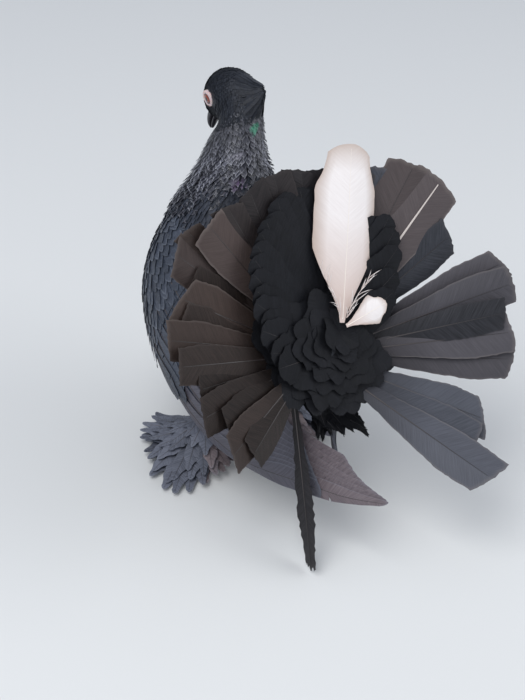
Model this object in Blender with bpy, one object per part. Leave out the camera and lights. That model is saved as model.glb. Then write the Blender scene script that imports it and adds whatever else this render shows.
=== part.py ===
"""A black Indian fantail pigeon, life size, standing still with its tail spread.

The bird faces -Y and its left side is +X. It stands on the floor, z = 0. Sizes are in millimetres,
and every mesh is scaled to metres once, when it becomes an object.
"""
import math

import bmesh
import bpy
from mathutils import Matrix, Vector

MM = 0.001                      # metres in a millimetre
GAP = 0.3                       # clear space between two pieces that touch
VANE = 0.6                      # thickness of a feather's vane
SHORTEST = (0.02, 0.01, 0.004)  # edges shorter than this are closed up after pieces are fused
SPOKES = 26                     # points around a ring of the body

# Rings of the body from the rump to the top of the neck. Each one is the y and z of its highest
# point on the back, the y and z of its lowest point in front, and half its width.
BODY = (
    (66, 150, 71, 108, 20), (58, 154, 63, 98, 29), (44, 160, 49, 84, 38), (28, 167, 30, 73, 46),
    (12, 176, 8, 67, 51), (-1, 187, -18, 66, 54), (-9, 199, -46, 72, 54.5), (-13, 209, -72, 88, 52),
    (-14, 217, -91, 112, 47.5), (-14, 225, -97, 140, 42), (-13, 233, -93, 168, 36),
    (-12, 241, -84, 193, 30), (-10.5, 250, -73, 214, 25), (-9, 260, -63, 232, 21.5),
    (-9, 273, -54, 247, 19), (-11.5, 287, -45, 257.5, 17.6),
)
# Rings of the head, in its own frame: its middle is between the eyes, and its bill points to -y.
HEAD = (
    (28.5, -3, -9.5, -21, 17.2), (26.5, 3, -10, -19, 17), (20.5, 9.5, -11, -17, 16.6),
    (10.5, 14, -12, -16, 15.6), (0.5, 13.5, -13, -15.2, 13.8), (-7.5, 9.5, -14, -14.5, 10.8),
    (-12.5, 3.5, -14.7, -13.6, 7.6), (-15, -2, -15.3, -12, 5.4),
)
NECK_STARTS = 9.4               # where along all those rings the torso ends
HEAD_STARTS = 14.5              # and where the neck ends

HEAD_AT = Vector((7.5, -47, 282))       # the point between the eyes
HEAD_DOWN = math.radians(44)    # the fantail draws its head back and points its bill at its breast
HEAD_LEFT = math.radians(12)
HEAD_TILT = math.radians(5)     # towards its left shoulder

EYE = Vector((14.6, 0, 0))      # middle of the left eye's surface, in the head's frame
EYE_RADIUS = 4.4
EYE_TURN = math.radians(14)     # how far an eye looks forward of straight sideways
EYE_DEPTH = 2.8                 # the eyeball's middle below its ring's face
# The bare ring round an eye, as radius and height from its face: it clears the eyeball all round
EYE_RING_PROFILE = ((6.0, -1.9), (6.0, 0.1), (5.1, 0.5), (4.25, 0.4), (3.95, -0.15), (4.65, -1.9))
EYE_SEAT = 7.8                  # depth of the round seat that holds the ring and the eyeball

HUB = Vector((0, 82, 130))      # where the tail's shafts meet
TAIL_LEAN = math.radians(35)    # the fan's plane leans forward by this from upright
TAIL_UP = Vector((0, -math.sin(TAIL_LEAN), math.cos(TAIL_LEAN)))
TAIL_BACK = Vector((0, math.cos(TAIL_LEAN), math.sin(TAIL_LEAN)))
LEFT = Vector((1, 0, 0))

# The tail's feathers: the angle round the fan from the bird's left, the angle that the feather
# stands back from the fan's plane, and its length. The photo's bird holds them unevenly.
RECTRICES = (
    (-26, 24, 142), (-17, 19, 144), (-8, 18, 142), (1, 18, 143), (10, 16, 142), (19, 15, 143),
    (28, 11, 144), (37, 10, 142), (46, 10, 143), (55, 15, 142), (64, 15, 140), (73, 15, 142),
    (82, 14, 143), (93, 13, 139), (103, 13, 140), (113, 14, 142), (124, 15, 151), (134, 17, 156),
    (143, 18, 155), (151, 19, 148), (160, 18, 146), (168, 23, 150), (177, 29, 152), (186, 25, 151),
    (194, 20, 151), (203, 21, 150), (229, 24, 144), (238, 27, 154), (246, 20, 148),
)
RECTRIX_WIDTH = 18              # half its width near the tip
RECTRIX_ROLL = 7                # degrees that each one is turned about its shaft, like roof tiles
STEM_TIP = Vector((43, 158, 3))         # one feather hangs to the floor, seen from its edge
STEM_FACE = Vector((0.8, -0.59, -0.08))
# The longest coverts under the tail, each with its angle, how far it stands back, length and half width
LONG_COVERTS = ((62, 20, 92, 13), (79, 17, 110, 15), (94, 14, 121, 15), (121, 17, 118, 14), (134, 19, 123, 15),
                (149, 26, 88, 13))
# The shorter ones in tiers: how many, from which angle to which, their length and how far they stand up
SHORT_COVERTS = ((10, -36, 236, 56, 9), (7, -50, 230, 42, 24), (5, -60, 228, 34, 48))
FRONT_COVERTS = 7
PLUME_ROOT = (-22, 5, 15)       # the long white covert's root, from the hub: left, up the fan, and back
PLUME_WAY = (96, 13)            # its angle round the fan and how far it stands back
PLUME_LENGTH = 141

FOOT_AT = {"left": Vector((41, -14, 0)), "right": Vector((-35, -20, 0))}
HOCK = Vector((-5, 18, 41))     # the ankle, from the foot, for the left leg
TOE_HEIGHT = 3.4                # the toes' middle above the floor
TOES = {"inner": (-112, 23), "middle": (-84, 30), "outer": (-54, 25), "hind": (98, 16)}
CLAW = 7.5
# The long feathers on each foot, in tiers: how many, height of their roots, length, drop, half width
MUFF = ((5, 9, 50, 6, 11), (5, 21, 47, 16, 11), (4, 32, 40, 22, 10))


def clear_scene():
    for thing in list(bpy.data.objects):
        bpy.data.objects.remove(thing)


def material(name, colour, roughness):
    """A Principled material. colour is a hex sRGB value."""
    looks = bpy.data.materials.new(name)
    looks.use_nodes = True
    shader = looks.node_tree.nodes["Principled BSDF"]
    channels = [int(colour[i:i + 2], 16) / 255 for i in (1, 3, 5)]
    linear = [c / 12.92 if c <= 0.04045 else ((c + 0.055) / 1.055) ** 2.4 for c in channels]
    shader.inputs["Base Color"].default_value = (*linear, 1.0)
    shader.inputs["Roughness"].default_value = roughness
    return looks


def smooth_step(t):
    t = min(max(t, 0.0), 1.0)
    return t * t * (3 - 2 * t)


def blend(a, b, t):
    return a + (b - a) * t


def along(rows, s):
    """The values at position s on a smooth curve through rows of numbers."""
    last = len(rows) - 1
    s = min(max(s, 0.0), last)
    i = min(int(s), last - 1)
    t = s - i
    p = [rows[max(i - 1, 0)], rows[i], rows[i + 1], rows[min(i + 2, last)]]
    return [0.5 * (2 * b + (c - a) * t + (2 * a - 5 * b + 4 * c - d) * t * t + (3 * b - a - 3 * c + d) * t ** 3)
            for a, b, c, d in zip(*p)]


def mesh_object(bm, name):
    """Closes a bmesh that is in millimetres and makes it an object in metres."""
    bmesh.ops.triangulate(bm, faces=bm.faces[:])
    bmesh.ops.recalc_face_normals(bm, faces=bm.faces[:])
    bmesh.ops.scale(bm, vec=(MM, MM, MM), verts=bm.verts[:])
    mesh = bpy.data.meshes.new(name)
    bm.to_mesh(mesh)
    bm.free()
    thing = bpy.data.objects.new(name, mesh)
    bpy.context.scene.collection.objects.link(thing)
    return thing


def lofted(rings, name="loft"):
    """A closed skin over rings of points, each ring with the same number of them."""
    bm = bmesh.new()
    spoke = bm.verts.layers.int.new("spoke")
    circle = bmesh.ops.create_circle(bm, segments=len(rings[0]), radius=1.0)
    for i, v in enumerate(circle["verts"]):
        v[spoke] = i
        v.co = rings[0][i]
    edges = bm.edges[:]
    bm.faces.new(circle["verts"])
    for ring in rings[1:]:
        grown = bmesh.ops.extrude_edge_only(bm, edges=edges)["geom"]
        for v in grown:
            if isinstance(v, bmesh.types.BMVert):
                v.co = ring[v[spoke]]
        edges = [e for e in grown if isinstance(e, bmesh.types.BMEdge)
                 and all(v in grown for v in e.verts)]
    bmesh.ops.holes_fill(bm, edges=edges, sides=0)
    return mesh_object(bm, name)


def ring_across(middle, direction, width, height, up=Vector((0, 0, 1)), points=16):
    """An oval ring square to a direction: half width sideways, half height along up."""
    side = direction.cross(up).normalized()
    top = side.cross(direction).normalized()
    return [middle + side * width * math.cos(a) + top * height * math.sin(a)
            for a in (2 * math.pi * i / points for i in range(points))]


def tube(points, radii, name="tube", sides=14):
    """A closed tapering tube through points, with oval ends."""
    rings = []
    for i, p in enumerate(points):
        before, after = points[max(i - 1, 0)], points[min(i + 1, len(points) - 1)]
        rings.append(ring_across(p, (after - before).normalized(), radii[i], radii[i], Vector((0.02, 0.3, 1)), sides))
    return lofted(rings, name)


def ball(middle, radii, frame=Matrix.Identity(3), detail=3, name="ball"):
    bm = bmesh.new()
    bmesh.ops.create_icosphere(bm, subdivisions=detail, radius=1.0)
    for v in bm.verts:
        v.co = middle + frame @ Vector([a * b for a, b in zip(v.co, radii)])
    return mesh_object(bm, name)


def block(middle, size, frame=Matrix.Identity(3), name="block"):
    bm = bmesh.new()
    bmesh.ops.create_cube(bm, size=1.0)
    for v in bm.verts:
        v.co = middle + frame @ Vector([a * b for a, b in zip(v.co, size)])
    return mesh_object(bm, name)


def vane(point_at, thick=VANE, rows=3, columns=2):
    """A thin closed blade. point_at(t, s) is its middle sheet, t from root to tip, s across from -1 to 1.

    Its rows are closer together towards the tip, where its outline turns.
    """
    bm = bmesh.new()
    bmesh.ops.create_grid(bm, x_segments=columns, y_segments=rows, size=1.0)
    for v in bm.verts:
        v.co = point_at(1 - ((1 - v.co.y) / 2) ** 1.5, v.co.x)
    bmesh.ops.triangulate(bm, faces=bm.faces[:])
    bm.normal_update()
    for v, normal in [(v, v.normal.copy()) for v in bm.verts]:
        v.co += normal * thick / 2
    bmesh.ops.solidify(bm, geom=bm.faces[:], thickness=thick)
    return mesh_object(bm, "vane")


def straight_vane(root, direction, face, length, width, root_width=3.0, lift=0.0, square=0.6,
                  widest=0.75, turn=0.0, rows=3, columns=2, thick=VANE):
    """A feather that starts at root, with its flat side towards face.

    lift bends its tip towards face, square says how straight its tip is cut, widest where it
    reaches its full width, and turn how far its tip is twisted about the shaft.
    """
    direction = direction.normalized()
    side = direction.cross(face).normalized()
    normal = side.cross(direction)

    def point_at(t, s):
        half = blend(root_width, width, smooth_step(t / widest))
        rounding = 1 - (1 - square) * smooth_step((t - 0.7) / 0.3)
        reach = length * t - (1 - square) * width * s * s * smooth_step((t - 0.5) / 0.5)
        across = Matrix.Rotation(turn * smooth_step((t - 0.5) / 0.5), 3, direction) @ side
        return root + direction * reach + across * (half * rounding * s) + normal * (lift * t * t)

    return vane(point_at, thick, rows, columns)


def joined(name, pieces, looks, cutters=(), smooth_angle=40, flat_angle=0.3):
    """Fuses closed pieces, cuts them clear of the cutters, and keeps the largest closed surface.

    Triangles that lie within flat_angle degrees of one plane are merged before the mesh is triangulated again.
    """
    body = pieces[0]
    rest = bpy.data.collections.new(name + " pieces")
    away = bpy.data.collections.new(name + " cutters")
    for group, members in ((rest, pieces[1:]), (away, cutters)):
        for member in members:
            group.objects.link(member)
        if members:
            change = body.modifiers.new("Join" if group is rest else "Cut", "BOOLEAN")
            change.operation = "UNION" if group is rest else "DIFFERENCE"
            change.operand_type = "COLLECTION"
            change.collection = group
            change.solver = "MANIFOLD"
    bpy.context.view_layer.update()
    mesh = bpy.data.meshes.new_from_object(body.evaluated_get(bpy.context.evaluated_depsgraph_get()))
    bm = bmesh.new()
    bm.from_mesh(mesh)
    bmesh.ops.triangulate(bm, faces=bm.faces[:])
    keep_largest(bm)
    if flat_angle:
        bmesh.ops.dissolve_limit(bm, angle_limit=math.radians(flat_angle), verts=bm.verts[:], edges=bm.edges[:])
        bmesh.ops.triangulate(bm, faces=bm.faces[:])
    bm = without_slivers(bm)
    bm.to_mesh(mesh)
    bm.free()
    for member in [body, *pieces[1:], *cutters]:
        bpy.data.objects.remove(member)
    for group in (rest, away):
        bpy.data.collections.remove(group)
    mesh.name = name
    mesh.materials.clear()
    mesh.materials.append(looks)
    mesh.shade_smooth()
    mesh.set_sharp_from_angle(angle=math.radians(smooth_angle))
    node = bpy.data.objects.new(name, mesh)
    bpy.context.scene.collection.objects.link(node)
    print(name, len(mesh.polygons), "triangles")
    return node


def without_slivers(bm):
    """Closes up the shortest edges, by the largest limit that leaves the surface closed."""
    for limit in SHORTEST:
        tidy = bm.copy()
        bmesh.ops.dissolve_degenerate(tidy, dist=limit * MM, edges=tidy.edges[:])
        bmesh.ops.triangulate(tidy, faces=tidy.faces[:])
        if all(edge.is_manifold for edge in tidy.edges):
            bm.free()
            return tidy
        tidy.free()
    return bm


def keep_largest(bm):
    """Deletes every closed surface but the one with the most volume."""
    left = set(bm.faces)
    groups = []
    while left:
        stack = [left.pop()]
        group = set(stack)
        while stack:
            for edge in stack.pop().edges:
                for face in edge.link_faces:
                    if face in left:
                        left.discard(face)
                        group.add(face)
                        stack.append(face)
        groups.append(group)
    def volume(group):
        return sum(f.verts[0].co.dot(f.verts[1].co.cross(f.verts[2].co)) for f in group)
    best = max(groups, key=volume)
    bmesh.ops.delete(bm, geom=[f for f in bm.faces if f not in best], context="FACES")


def head_turn():
    """The head's frame: bill down, then tilted, then turned to the left."""
    return (Matrix.Rotation(HEAD_LEFT, 3, "Z") @ Matrix.Rotation(HEAD_TILT, 3, "Y")
            @ Matrix.Rotation(HEAD_DOWN, 3, "X"))


def on_head(x, y, z):
    return HEAD_AT + head_turn() @ Vector((x, y, z))


def moved_to_head(piece):
    """Moves a piece that was modelled in the head's frame to its place."""
    piece.data.transform(Matrix.Translation(HEAD_AT * MM) @ head_turn().to_4x4())
    return piece


def ring_table():
    """Every ring as one row of numbers: its back point, front point, sideways vector and half width.

    The neck's rings turn and shift towards the head bit by bit.
    """
    rows = []
    side = head_turn() @ LEFT
    for i, (back_y, back_z, front_y, front_z, half) in enumerate(BODY):
        share = smooth_step((i - 10) / 6)
        x = HEAD_AT.x * 0.7 * share
        rows.append((x, back_y, back_z, x, front_y, front_z, *LEFT.lerp(side, share), half))
    for back_y, back_z, front_y, front_z, half in HEAD:
        rows.append((*on_head(0, back_y, back_z), *on_head(0, front_y, front_z), *side, half))
    return rows


def body_ring(s, grow=0.0):
    """The body's outline at position s along its rings, square to the line from back to front."""
    values = along(ring_table(), s)
    back, front, side = (Vector(values[i:i + 3]) for i in (0, 3, 6))
    half = values[9]
    middle, half_depth = (back + front) / 2, (back - front) / 2
    depth = half_depth.length
    top = half_depth.normalized()
    ring = []
    for i in range(SPOKES):
        a = 2 * math.pi * i / SPOKES
        ring.append(middle + top * (depth + grow) * math.cos(a) + side.normalized() * (half + grow) * math.sin(a))
    return ring


def body_length(first, last, step, grow=0.0, shift=0.0):
    """The body between two positions along its rings, its first ring moved on by shift."""
    count = max(2, math.ceil((last - first) / step))
    rings = [body_ring(blend(first, last, i / count), grow) for i in range(count + 1)]
    if shift:
        normal = (rings[0][1] - rings[0][0]).cross(rings[0][8] - rings[0][0]).normalized()
        ahead = sum(rings[1], Vector()) - sum(rings[0], Vector())
        normal = normal if normal.dot(ahead) > 0 else -normal
        rings[0] = [p + normal * shift for p in rings[0]]
    return lofted(rings, "body")


def grown_body():
    """A little more than the torso and the neck, to cut their neighbours clear of them."""
    return [body_length(0, NECK_STARTS, 0.6, GAP + 0.15), body_length(NECK_STARTS, HEAD_STARTS, 0.55, GAP + 0.15)]


def eye_frame(side):
    """Axes at an eye in the head's frame, with z looking out of it. side is 1 for left, -1 for right."""
    out = Vector((side * math.cos(EYE_TURN), -math.sin(EYE_TURN), 0.06)).normalized()
    across = Vector((0, 0, 1)).cross(out).normalized()
    return Matrix((across, out.cross(across), out)).transposed()


def eye_place(side, depth=0.0):
    return Vector((side * EYE.x, EYE.y, EYE.z)) - eye_frame(side) @ Vector((0, 0, depth))


def turned(middle, frame, profile, sides=20):
    """A shape turned about a frame's z axis from rows of radius and height."""
    bm = bmesh.new()
    circle = bmesh.ops.create_circle(bm, segments=len(profile), radius=1.0)
    for v, (radius, height) in zip(circle["verts"], profile):
        v.co = (radius, 0, height)
    bmesh.ops.spin(bm, geom=bm.verts[:] + bm.edges[:], axis=(0, 0, 1), steps=sides, angle=2 * math.pi,
                   use_merge=True)
    bmesh.ops.remove_doubles(bm, verts=bm.verts[:], dist=0.001)
    for v in bm.verts:
        v.co = middle + frame @ v.co
    return mesh_object(bm, "turned")


def plug(middle, frame, radius, low, high, sides=20):
    """A round plug along a frame's z axis."""
    return lofted([[middle + frame @ Vector((radius * math.cos(a), radius * math.sin(a), z))
                    for a in (2 * math.pi * i / sides for i in range(sides))] for z in (low, high)])


def make_eyes(looks_eye, looks_ring):
    for side, name in ((1, "left"), (-1, "right")):
        eye = moved_to_head(ball(eye_place(side, EYE_DEPTH), (EYE_RADIUS,) * 3))
        joined("eye_" + name, [eye], looks_eye)
        ring = moved_to_head(turned(eye_place(side), eye_frame(side), EYE_RING_PROFILE))
        joined("eye_ring_" + name, [ring], looks_ring, (), 50)


def make_head(looks):
    """The skull with its feathers, the crest's peak behind it, and the seats of the eyes."""
    pieces = [body_length(HEAD_STARTS, len(BODY) + len(HEAD) - 1, 0.7, shift=GAP)]
    for i in range(-3, 4):
        x = i * 3.6
        root = Vector((x, 23 - abs(i) * 0.8, 3 - abs(i) * 1.6))
        tip = Vector((x * 0.4, 38 - abs(i) * 2, 0.5 - abs(i) * 1.9))
        pieces.append(moved_to_head(straight_vane(root, tip - root, Vector((x * 0.12, 0.3, 1)), (tip - root).length,
                                                  2.8, 2.4, 0.6, 0.35, 0.5, rows=2)))
    cutters = [moved_to_head(plug(eye_place(side), eye_frame(side), EYE_RING_PROFILE[0][0] + GAP, -EYE_SEAT, 4))
               for side in (1, -1)]
    gape = block(Vector((0, -14, -9.4)), (12, 7, 0.5), Matrix.Rotation(math.radians(-10), 3, "X"))
    joined("head", pieces, looks, cutters + [moved_to_head(gape)])


def bill_loft(rows):
    """One half of the bill from rows of y, z, half width and half height in the head's frame."""
    ahead = Vector((0, -1, -0.35)).normalized()
    return moved_to_head(lofted([ring_across(Vector((0, y, z)), ahead, w, h, points=14) for y, z, w, h in rows]))


def make_bill(looks_bill, looks_cere):
    """Both halves of the bill, with the line of the mouth between them, and the cere on its root."""
    upper = ((-16.2, -5.8, 4.7, 3.2), (-19.5, -6.8, 4.3, 3.0), (-23.5, -8.4, 3.6, 2.7),
             (-27.5, -10.6, 2.8, 2.4), (-30.5, -13, 1.9, 2.0), (-32.1, -15.1, 0.8, 1.2))
    lower = ((-16.2, -11.1, 4.3, 1.7), (-19.5, -12, 3.9, 1.55), (-23.5, -13.4, 3.2, 1.4),
             (-27.5, -15.1, 2.3, 1.15), (-30.1, -16.4, 1.0, 0.7))
    wider = [(y, z, w + 0.4, h + 0.4) for y, z, w, h in ((-14, -5.1, 5.1, 3.5), *upper, (-33, -16.4, 0.5, 0.9))]
    joined("lower_bill", [bill_loft(lower)], looks_bill, [bill_loft(wider)])
    tip_up = Matrix.Rotation(math.radians(14), 3, "X")
    bulbs = [moved_to_head(ball(Vector((x, -19.4, -2.9)), (2.4, 3.0, 1.9), tip_up, 2)) for x in (-1.9, 1.9)]
    behind = moved_to_head(block(Vector((0, -6, 0)), (20, 20.2, 30)))
    joined("cere", bulbs, looks_cere, [bill_loft(wider), behind])
    slits = [moved_to_head(block(Vector((side * 3.9, -22.3, -5.4)), (1.6, 3.2, 0.7),
                                 Matrix.Rotation(math.radians(16), 3, "X"))) for side in (1, -1)]
    joined("upper_bill", [bill_loft(upper)], looks_bill, slits)


def tail_direction(angle, funnel):
    """Unit vector at an angle round the fan, standing back from its plane by the funnel angle."""
    a, k = math.radians(angle), math.radians(funnel)
    return (LEFT * math.cos(a) + TAIL_UP * math.sin(a)) * math.cos(k) + TAIL_BACK * math.sin(k)


def tail_face(angle, roll):
    """The side that a tail feather turns to the rear, rolled so that neighbours lie like tiles."""
    a = math.radians(angle)
    round_fan = -LEFT * math.sin(a) + TAIL_UP * math.cos(a)
    towards_top = 1 if angle < 104 else -1
    return TAIL_BACK - round_fan * math.tan(math.radians(roll)) * towards_top


def tail_vane(angle, funnel, length, width, start, back, roll, **shape):
    """A feather of the tail, whose root is start from the hub along it and back behind the fan's plane."""
    direction = tail_direction(angle, funnel)
    root = HUB + TAIL_BACK * back + direction * start
    return straight_vane(root, direction, tail_face(angle, roll), length - start, width, **shape)


def make_tail(looks):
    """The spread tail: long feathers, and the coverts in tiers behind and in front of them."""
    frame = Matrix((LEFT, TAIL_UP, TAIL_BACK)).transposed()
    pieces = [ball(HUB, (25, 25, 20), frame), ball(HUB + TAIL_BACK * 13, (18, 18, 13), frame)]
    for i, (angle, funnel, length) in enumerate(RECTRICES):
        pieces.append(tail_vane(angle, funnel, length, RECTRIX_WIDTH + math.sin(i * 1.7), 12, 0,
                                RECTRIX_ROLL + math.sin(i * 2.3), root_width=4, lift=3, square=0.72, widest=0.8))
    stem = STEM_TIP - HUB
    pieces.append(straight_vane(HUB + stem.normalized() * 12, stem, STEM_FACE, stem.length - 12, 14, 4, 2, 0.6, 0.9,
                                turn=math.radians(-65), rows=4))
    for angle, funnel, length, width in LONG_COVERTS:
        pieces.append(tail_vane(angle, funnel, length, width, 12, 11, 4, root_width=8, square=0.35, widest=0.6))
    for tier, (count, low, high, reach, lift) in enumerate(SHORT_COVERTS):
        for i in range(count):
            angle = blend(low, high, i / (count - 1))
            pieces.append(tail_vane(angle, 20 + lift, reach + 4 * math.sin(i * 2.1), 11, 8, 9 + 4 * tier, 7,
                                    root_width=5, lift=-2, square=0.35, widest=0.6, rows=2))
    plume_way = tail_direction(*PLUME_WAY)
    plume_root = HUB + LEFT * PLUME_ROOT[0] + TAIL_UP * PLUME_ROOT[1] + TAIL_BACK * PLUME_ROOT[2]
    pieces.append(straight_vane(plume_root, plume_way, TAIL_BACK, PLUME_LENGTH, 18.5, 11, 1.5, 0.4, 0.55, rows=4))
    pieces.append(tail_vane(152, 50, 48, 12, 14, 12, 0, root_width=7, square=0.3, widest=0.5, rows=2))
    for i in range(FRONT_COVERTS):
        angle = blend(24, 164, i / (FRONT_COVERTS - 1))
        pieces.append(tail_vane(angle, 5, 66, 13, 12, -6, 7, root_width=6, square=0.4, widest=0.6, rows=2))
    joined("tail", pieces, looks, grown_body())


# The folded wing's sheet, from the shoulder to the tip of the longest feather: at each station a
# point on its upper edge, one on its middle line and one on its lower edge, for the left wing.
WING = (
    (30, -66, 186, 44, -88, 152, 42, -84, 124), (34, -42, 190, 57, -58, 146, 57, -60, 102),
    (35, -6, 182, 63, -18, 132, 64, -24, 84), (35, 28, 160, 60, 22, 112, 63, 14, 68),
    (36, 56, 130, 53, 55, 90, 57, 46, 56), (36, 88, 90, 43, 88, 68, 48, 80, 48),
    (33, 122, 54, 34, 124, 49, 36, 120, 44),
)
WING_CORE_ENDS = 3.3            # how many stations the wing's flesh and small feathers take
WING_TIP_SHIFT = {"left": Vector((0, 0, 0)), "right": Vector((22, 34, -6))}


def wing_point(name, s, v, offset=0.0):
    """A point of a wing's sheet at station s, across it from v = -1, its upper edge, to 1, and offset outwards."""
    values = along(WING, s)
    upper, middle, lower = (Vector(values[i:i + 3]) for i in (0, 3, 6))
    p = upper * (v * (v - 1) / 2) + middle * (1 - v * v) + lower * (v * (v + 1) / 2)
    p += Vector((offset, 0, -offset * 0.35 * v))
    side = 1 if name == "left" else -1
    return Vector((side * p.x, p.y, p.z)) + WING_TIP_SHIFT[name] * smooth_step((p.y - 20) / 100)


def wing_vane(name, start, end, v_start, v_end, width, low, high, tilt, rows=3, point=0.5, thick=VANE):
    """A feather laid on the wing's sheet from one station to a later one, rising from low to high."""
    def point_at(t, s):
        half = width * blend(0.6, 1.0, smooth_step(t / 0.5)) * (1 - (1 - point) * smooth_step((t - 0.6) / 0.4))
        station = blend(start, end, t) - (end - start) * 0.12 * s * s * smooth_step((t - 0.5) / 0.5)
        return wing_point(name, station, blend(v_start, v_end, t) + half * s, blend(low, high, t) + tilt * s)
    return vane(point_at, thick, rows)


def make_wing(name, looks):
    """A folded wing: its core, the rows of coverts on it, then the inner and the outer flight feathers."""
    core = vane(lambda t, s: wing_point(name, blend(0.05, WING_CORE_ENDS, t), s * 0.96, -2.5), 5, 8, 6)
    pieces = [core]
    for i in range(7):
        v = -0.84 + 1.68 * i / 6
        pieces.append(wing_vane(name, 2.9, blend(4.8, 6.0, i / 6), v, blend(v, 0, 0.25), 0.25, -4.4, -3.6, -0.95))
    for i in range(5):
        v = -0.84 + 1.36 * i / 4
        pieces.append(wing_vane(name, 2.7, blend(3.9, 4.7, i / 4), v, v * 0.92, 0.3, -1.9, -0.8, -0.9))
    for row, (start, end) in enumerate(((1.8, 3.2), (0.9, 2.3))):
        for i in range(4):
            v = -0.75 + 1.5 * (i + 0.4 * (row % 2)) / 3.4
            pieces.append(wing_vane(name, start, end, v, v, 0.34, -2.6, -0.9 + 0.6 * row, -0.35, 2, 0.45, 3))
    joined("wing_" + name, pieces, looks, grown_body(), flat_angle=0)


def mirrored(p, name):
    return Vector((p.x if name == "left" else -p.x, p.y, p.z))


def leg_tube(name, grow=0.0):
    """The feathered leg from inside the belly to the ankle."""
    ankle = FOOT_AT[name] + mirrored(HOCK, name)
    hip = Vector((ankle.x * 0.62, ankle.y - 34, 88))
    points = [hip.lerp(ankle, t) for t in (0, 0.3, 0.6, 0.85, 1.0)]
    points[-1] += (ankle - hip).normalized() * grow
    return tube(points, [r + grow for r in (22, 19, 14, 10, 7.5)], sides=18)


def make_leg(name, looks):
    joined("leg_" + name, [leg_tube(name)], looks, grown_body())


def make_foot(name, looks, looks_claw):
    """Shank, toes and the long feathers that grow on both, flat where they stand on the floor."""
    foot = FOOT_AT[name]
    ankle = foot + mirrored(HOCK, name)
    pad = foot + Vector((0, 0, 6))
    pieces = [tube([ankle.lerp(pad, t) for t in (0, 0.35, 0.7, 1)], (6.4, 5.6, 5.0, 5.6)),
              ball(foot + Vector((0, 0, 4.4)), (6.5, 6.5, 5), detail=2)]
    toe_ends = []
    for toe, (heading, length) in TOES.items():
        a = math.radians(heading)
        way = mirrored(Vector((math.cos(a), math.sin(a), 0)), name)
        points = [foot + way * d + Vector((0, 0, TOE_HEIGHT)) for d in (2, length * 0.5, length)]
        pieces.append(tube(points, (4.2, 3.9, 3.0), sides=10))
        toe_ends.append((toe, points[-1], way))
    for tier, (count, height, length, drop, width) in enumerate(MUFF):
        for i in range(count):
            a = math.radians(-58 + 172 * (i + 0.35 * (tier % 2)) / (count - 0.65))
            way = mirrored(Vector((math.cos(a), math.sin(a), -drop / length)), name)
            root = pad.lerp(ankle, (height - pad.z) / (ankle.z - pad.z))
            pieces.append(straight_vane(root, way, Vector((0, 0, 1)), length * (1 - 0.12 * (i % 2)), width, 2.4, 1.5,
                                        0.4, 0.75, rows=2))
    floor = block(Vector((foot.x, foot.y, -10)), (260, 260, 20))
    joined("foot_" + name, pieces, looks, [floor, leg_tube(name, GAP + 0.1)])
    for toe, end, way in toe_ends:
        points = [end + way * (GAP + CLAW * t) + Vector((0, 0, 0.4 - 1.6 * t * t)) for t in (0, 0.35, 0.7, 1.0)]
        claw = tube(points, (1.9, 1.5, 0.95, 0.35), sides=8)
        joined("claw_%s_%s" % (name, toe), [claw], looks_claw)


def put_on_origin():
    """Moves every piece so that the origin is on the floor, under the middle of the whole bird."""
    corners = [thing.matrix_world @ v.co for thing in bpy.data.objects for v in thing.data.vertices]
    low, high = ([pick(p[i] for p in corners) for i in range(3)] for pick in (min, max))
    for thing in bpy.data.objects:
        thing.location -= Vector(((low[0] + high[0]) / 2, (low[1] + high[1]) / 2, low[2]))


def main():
    clear_scene()
    plumage = material("slate black feathers", "#2b2e36", 0.55)
    wing_looks = material("slate wing feathers", "#353b47", 0.5)
    tail_looks = material("brown black tail feathers", "#3a3436", 0.6)
    bare_skin = material("pale pink skin", "#e3c4c0", 0.5)
    white_skin = material("white cere", "#e9e4e0", 0.6)
    horn = material("black horn", "#1d1c1f", 0.35)
    eye_looks = material("red eye", "#7d2412", 0.1)
    joined("torso", [body_length(0, NECK_STARTS, 0.6)], plumage)
    joined("neck", [body_length(NECK_STARTS, HEAD_STARTS, 0.55, shift=GAP)], plumage)
    make_head(plumage)
    make_eyes(eye_looks, bare_skin)
    make_bill(horn, white_skin)
    make_tail(tail_looks)
    for name in ("left", "right"):
        make_wing(name, wing_looks)
        make_leg(name, plumage)
        make_foot(name, plumage, horn)
    put_on_origin()


main()
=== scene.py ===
# %% [markdown]
# # A black Indian fantail pigeon, life size
# The bird stands still with its tail spread, as a museum would show it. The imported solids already
# give the pose and every size, so this script dresses them: a skin, small feathers in flocks, large
# feathers one by one, a head with bare lids and a bill, and feathered feet.

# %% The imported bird
import math

import bmesh
import bpy
import numpy as np
from mathutils import Matrix, Vector


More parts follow.
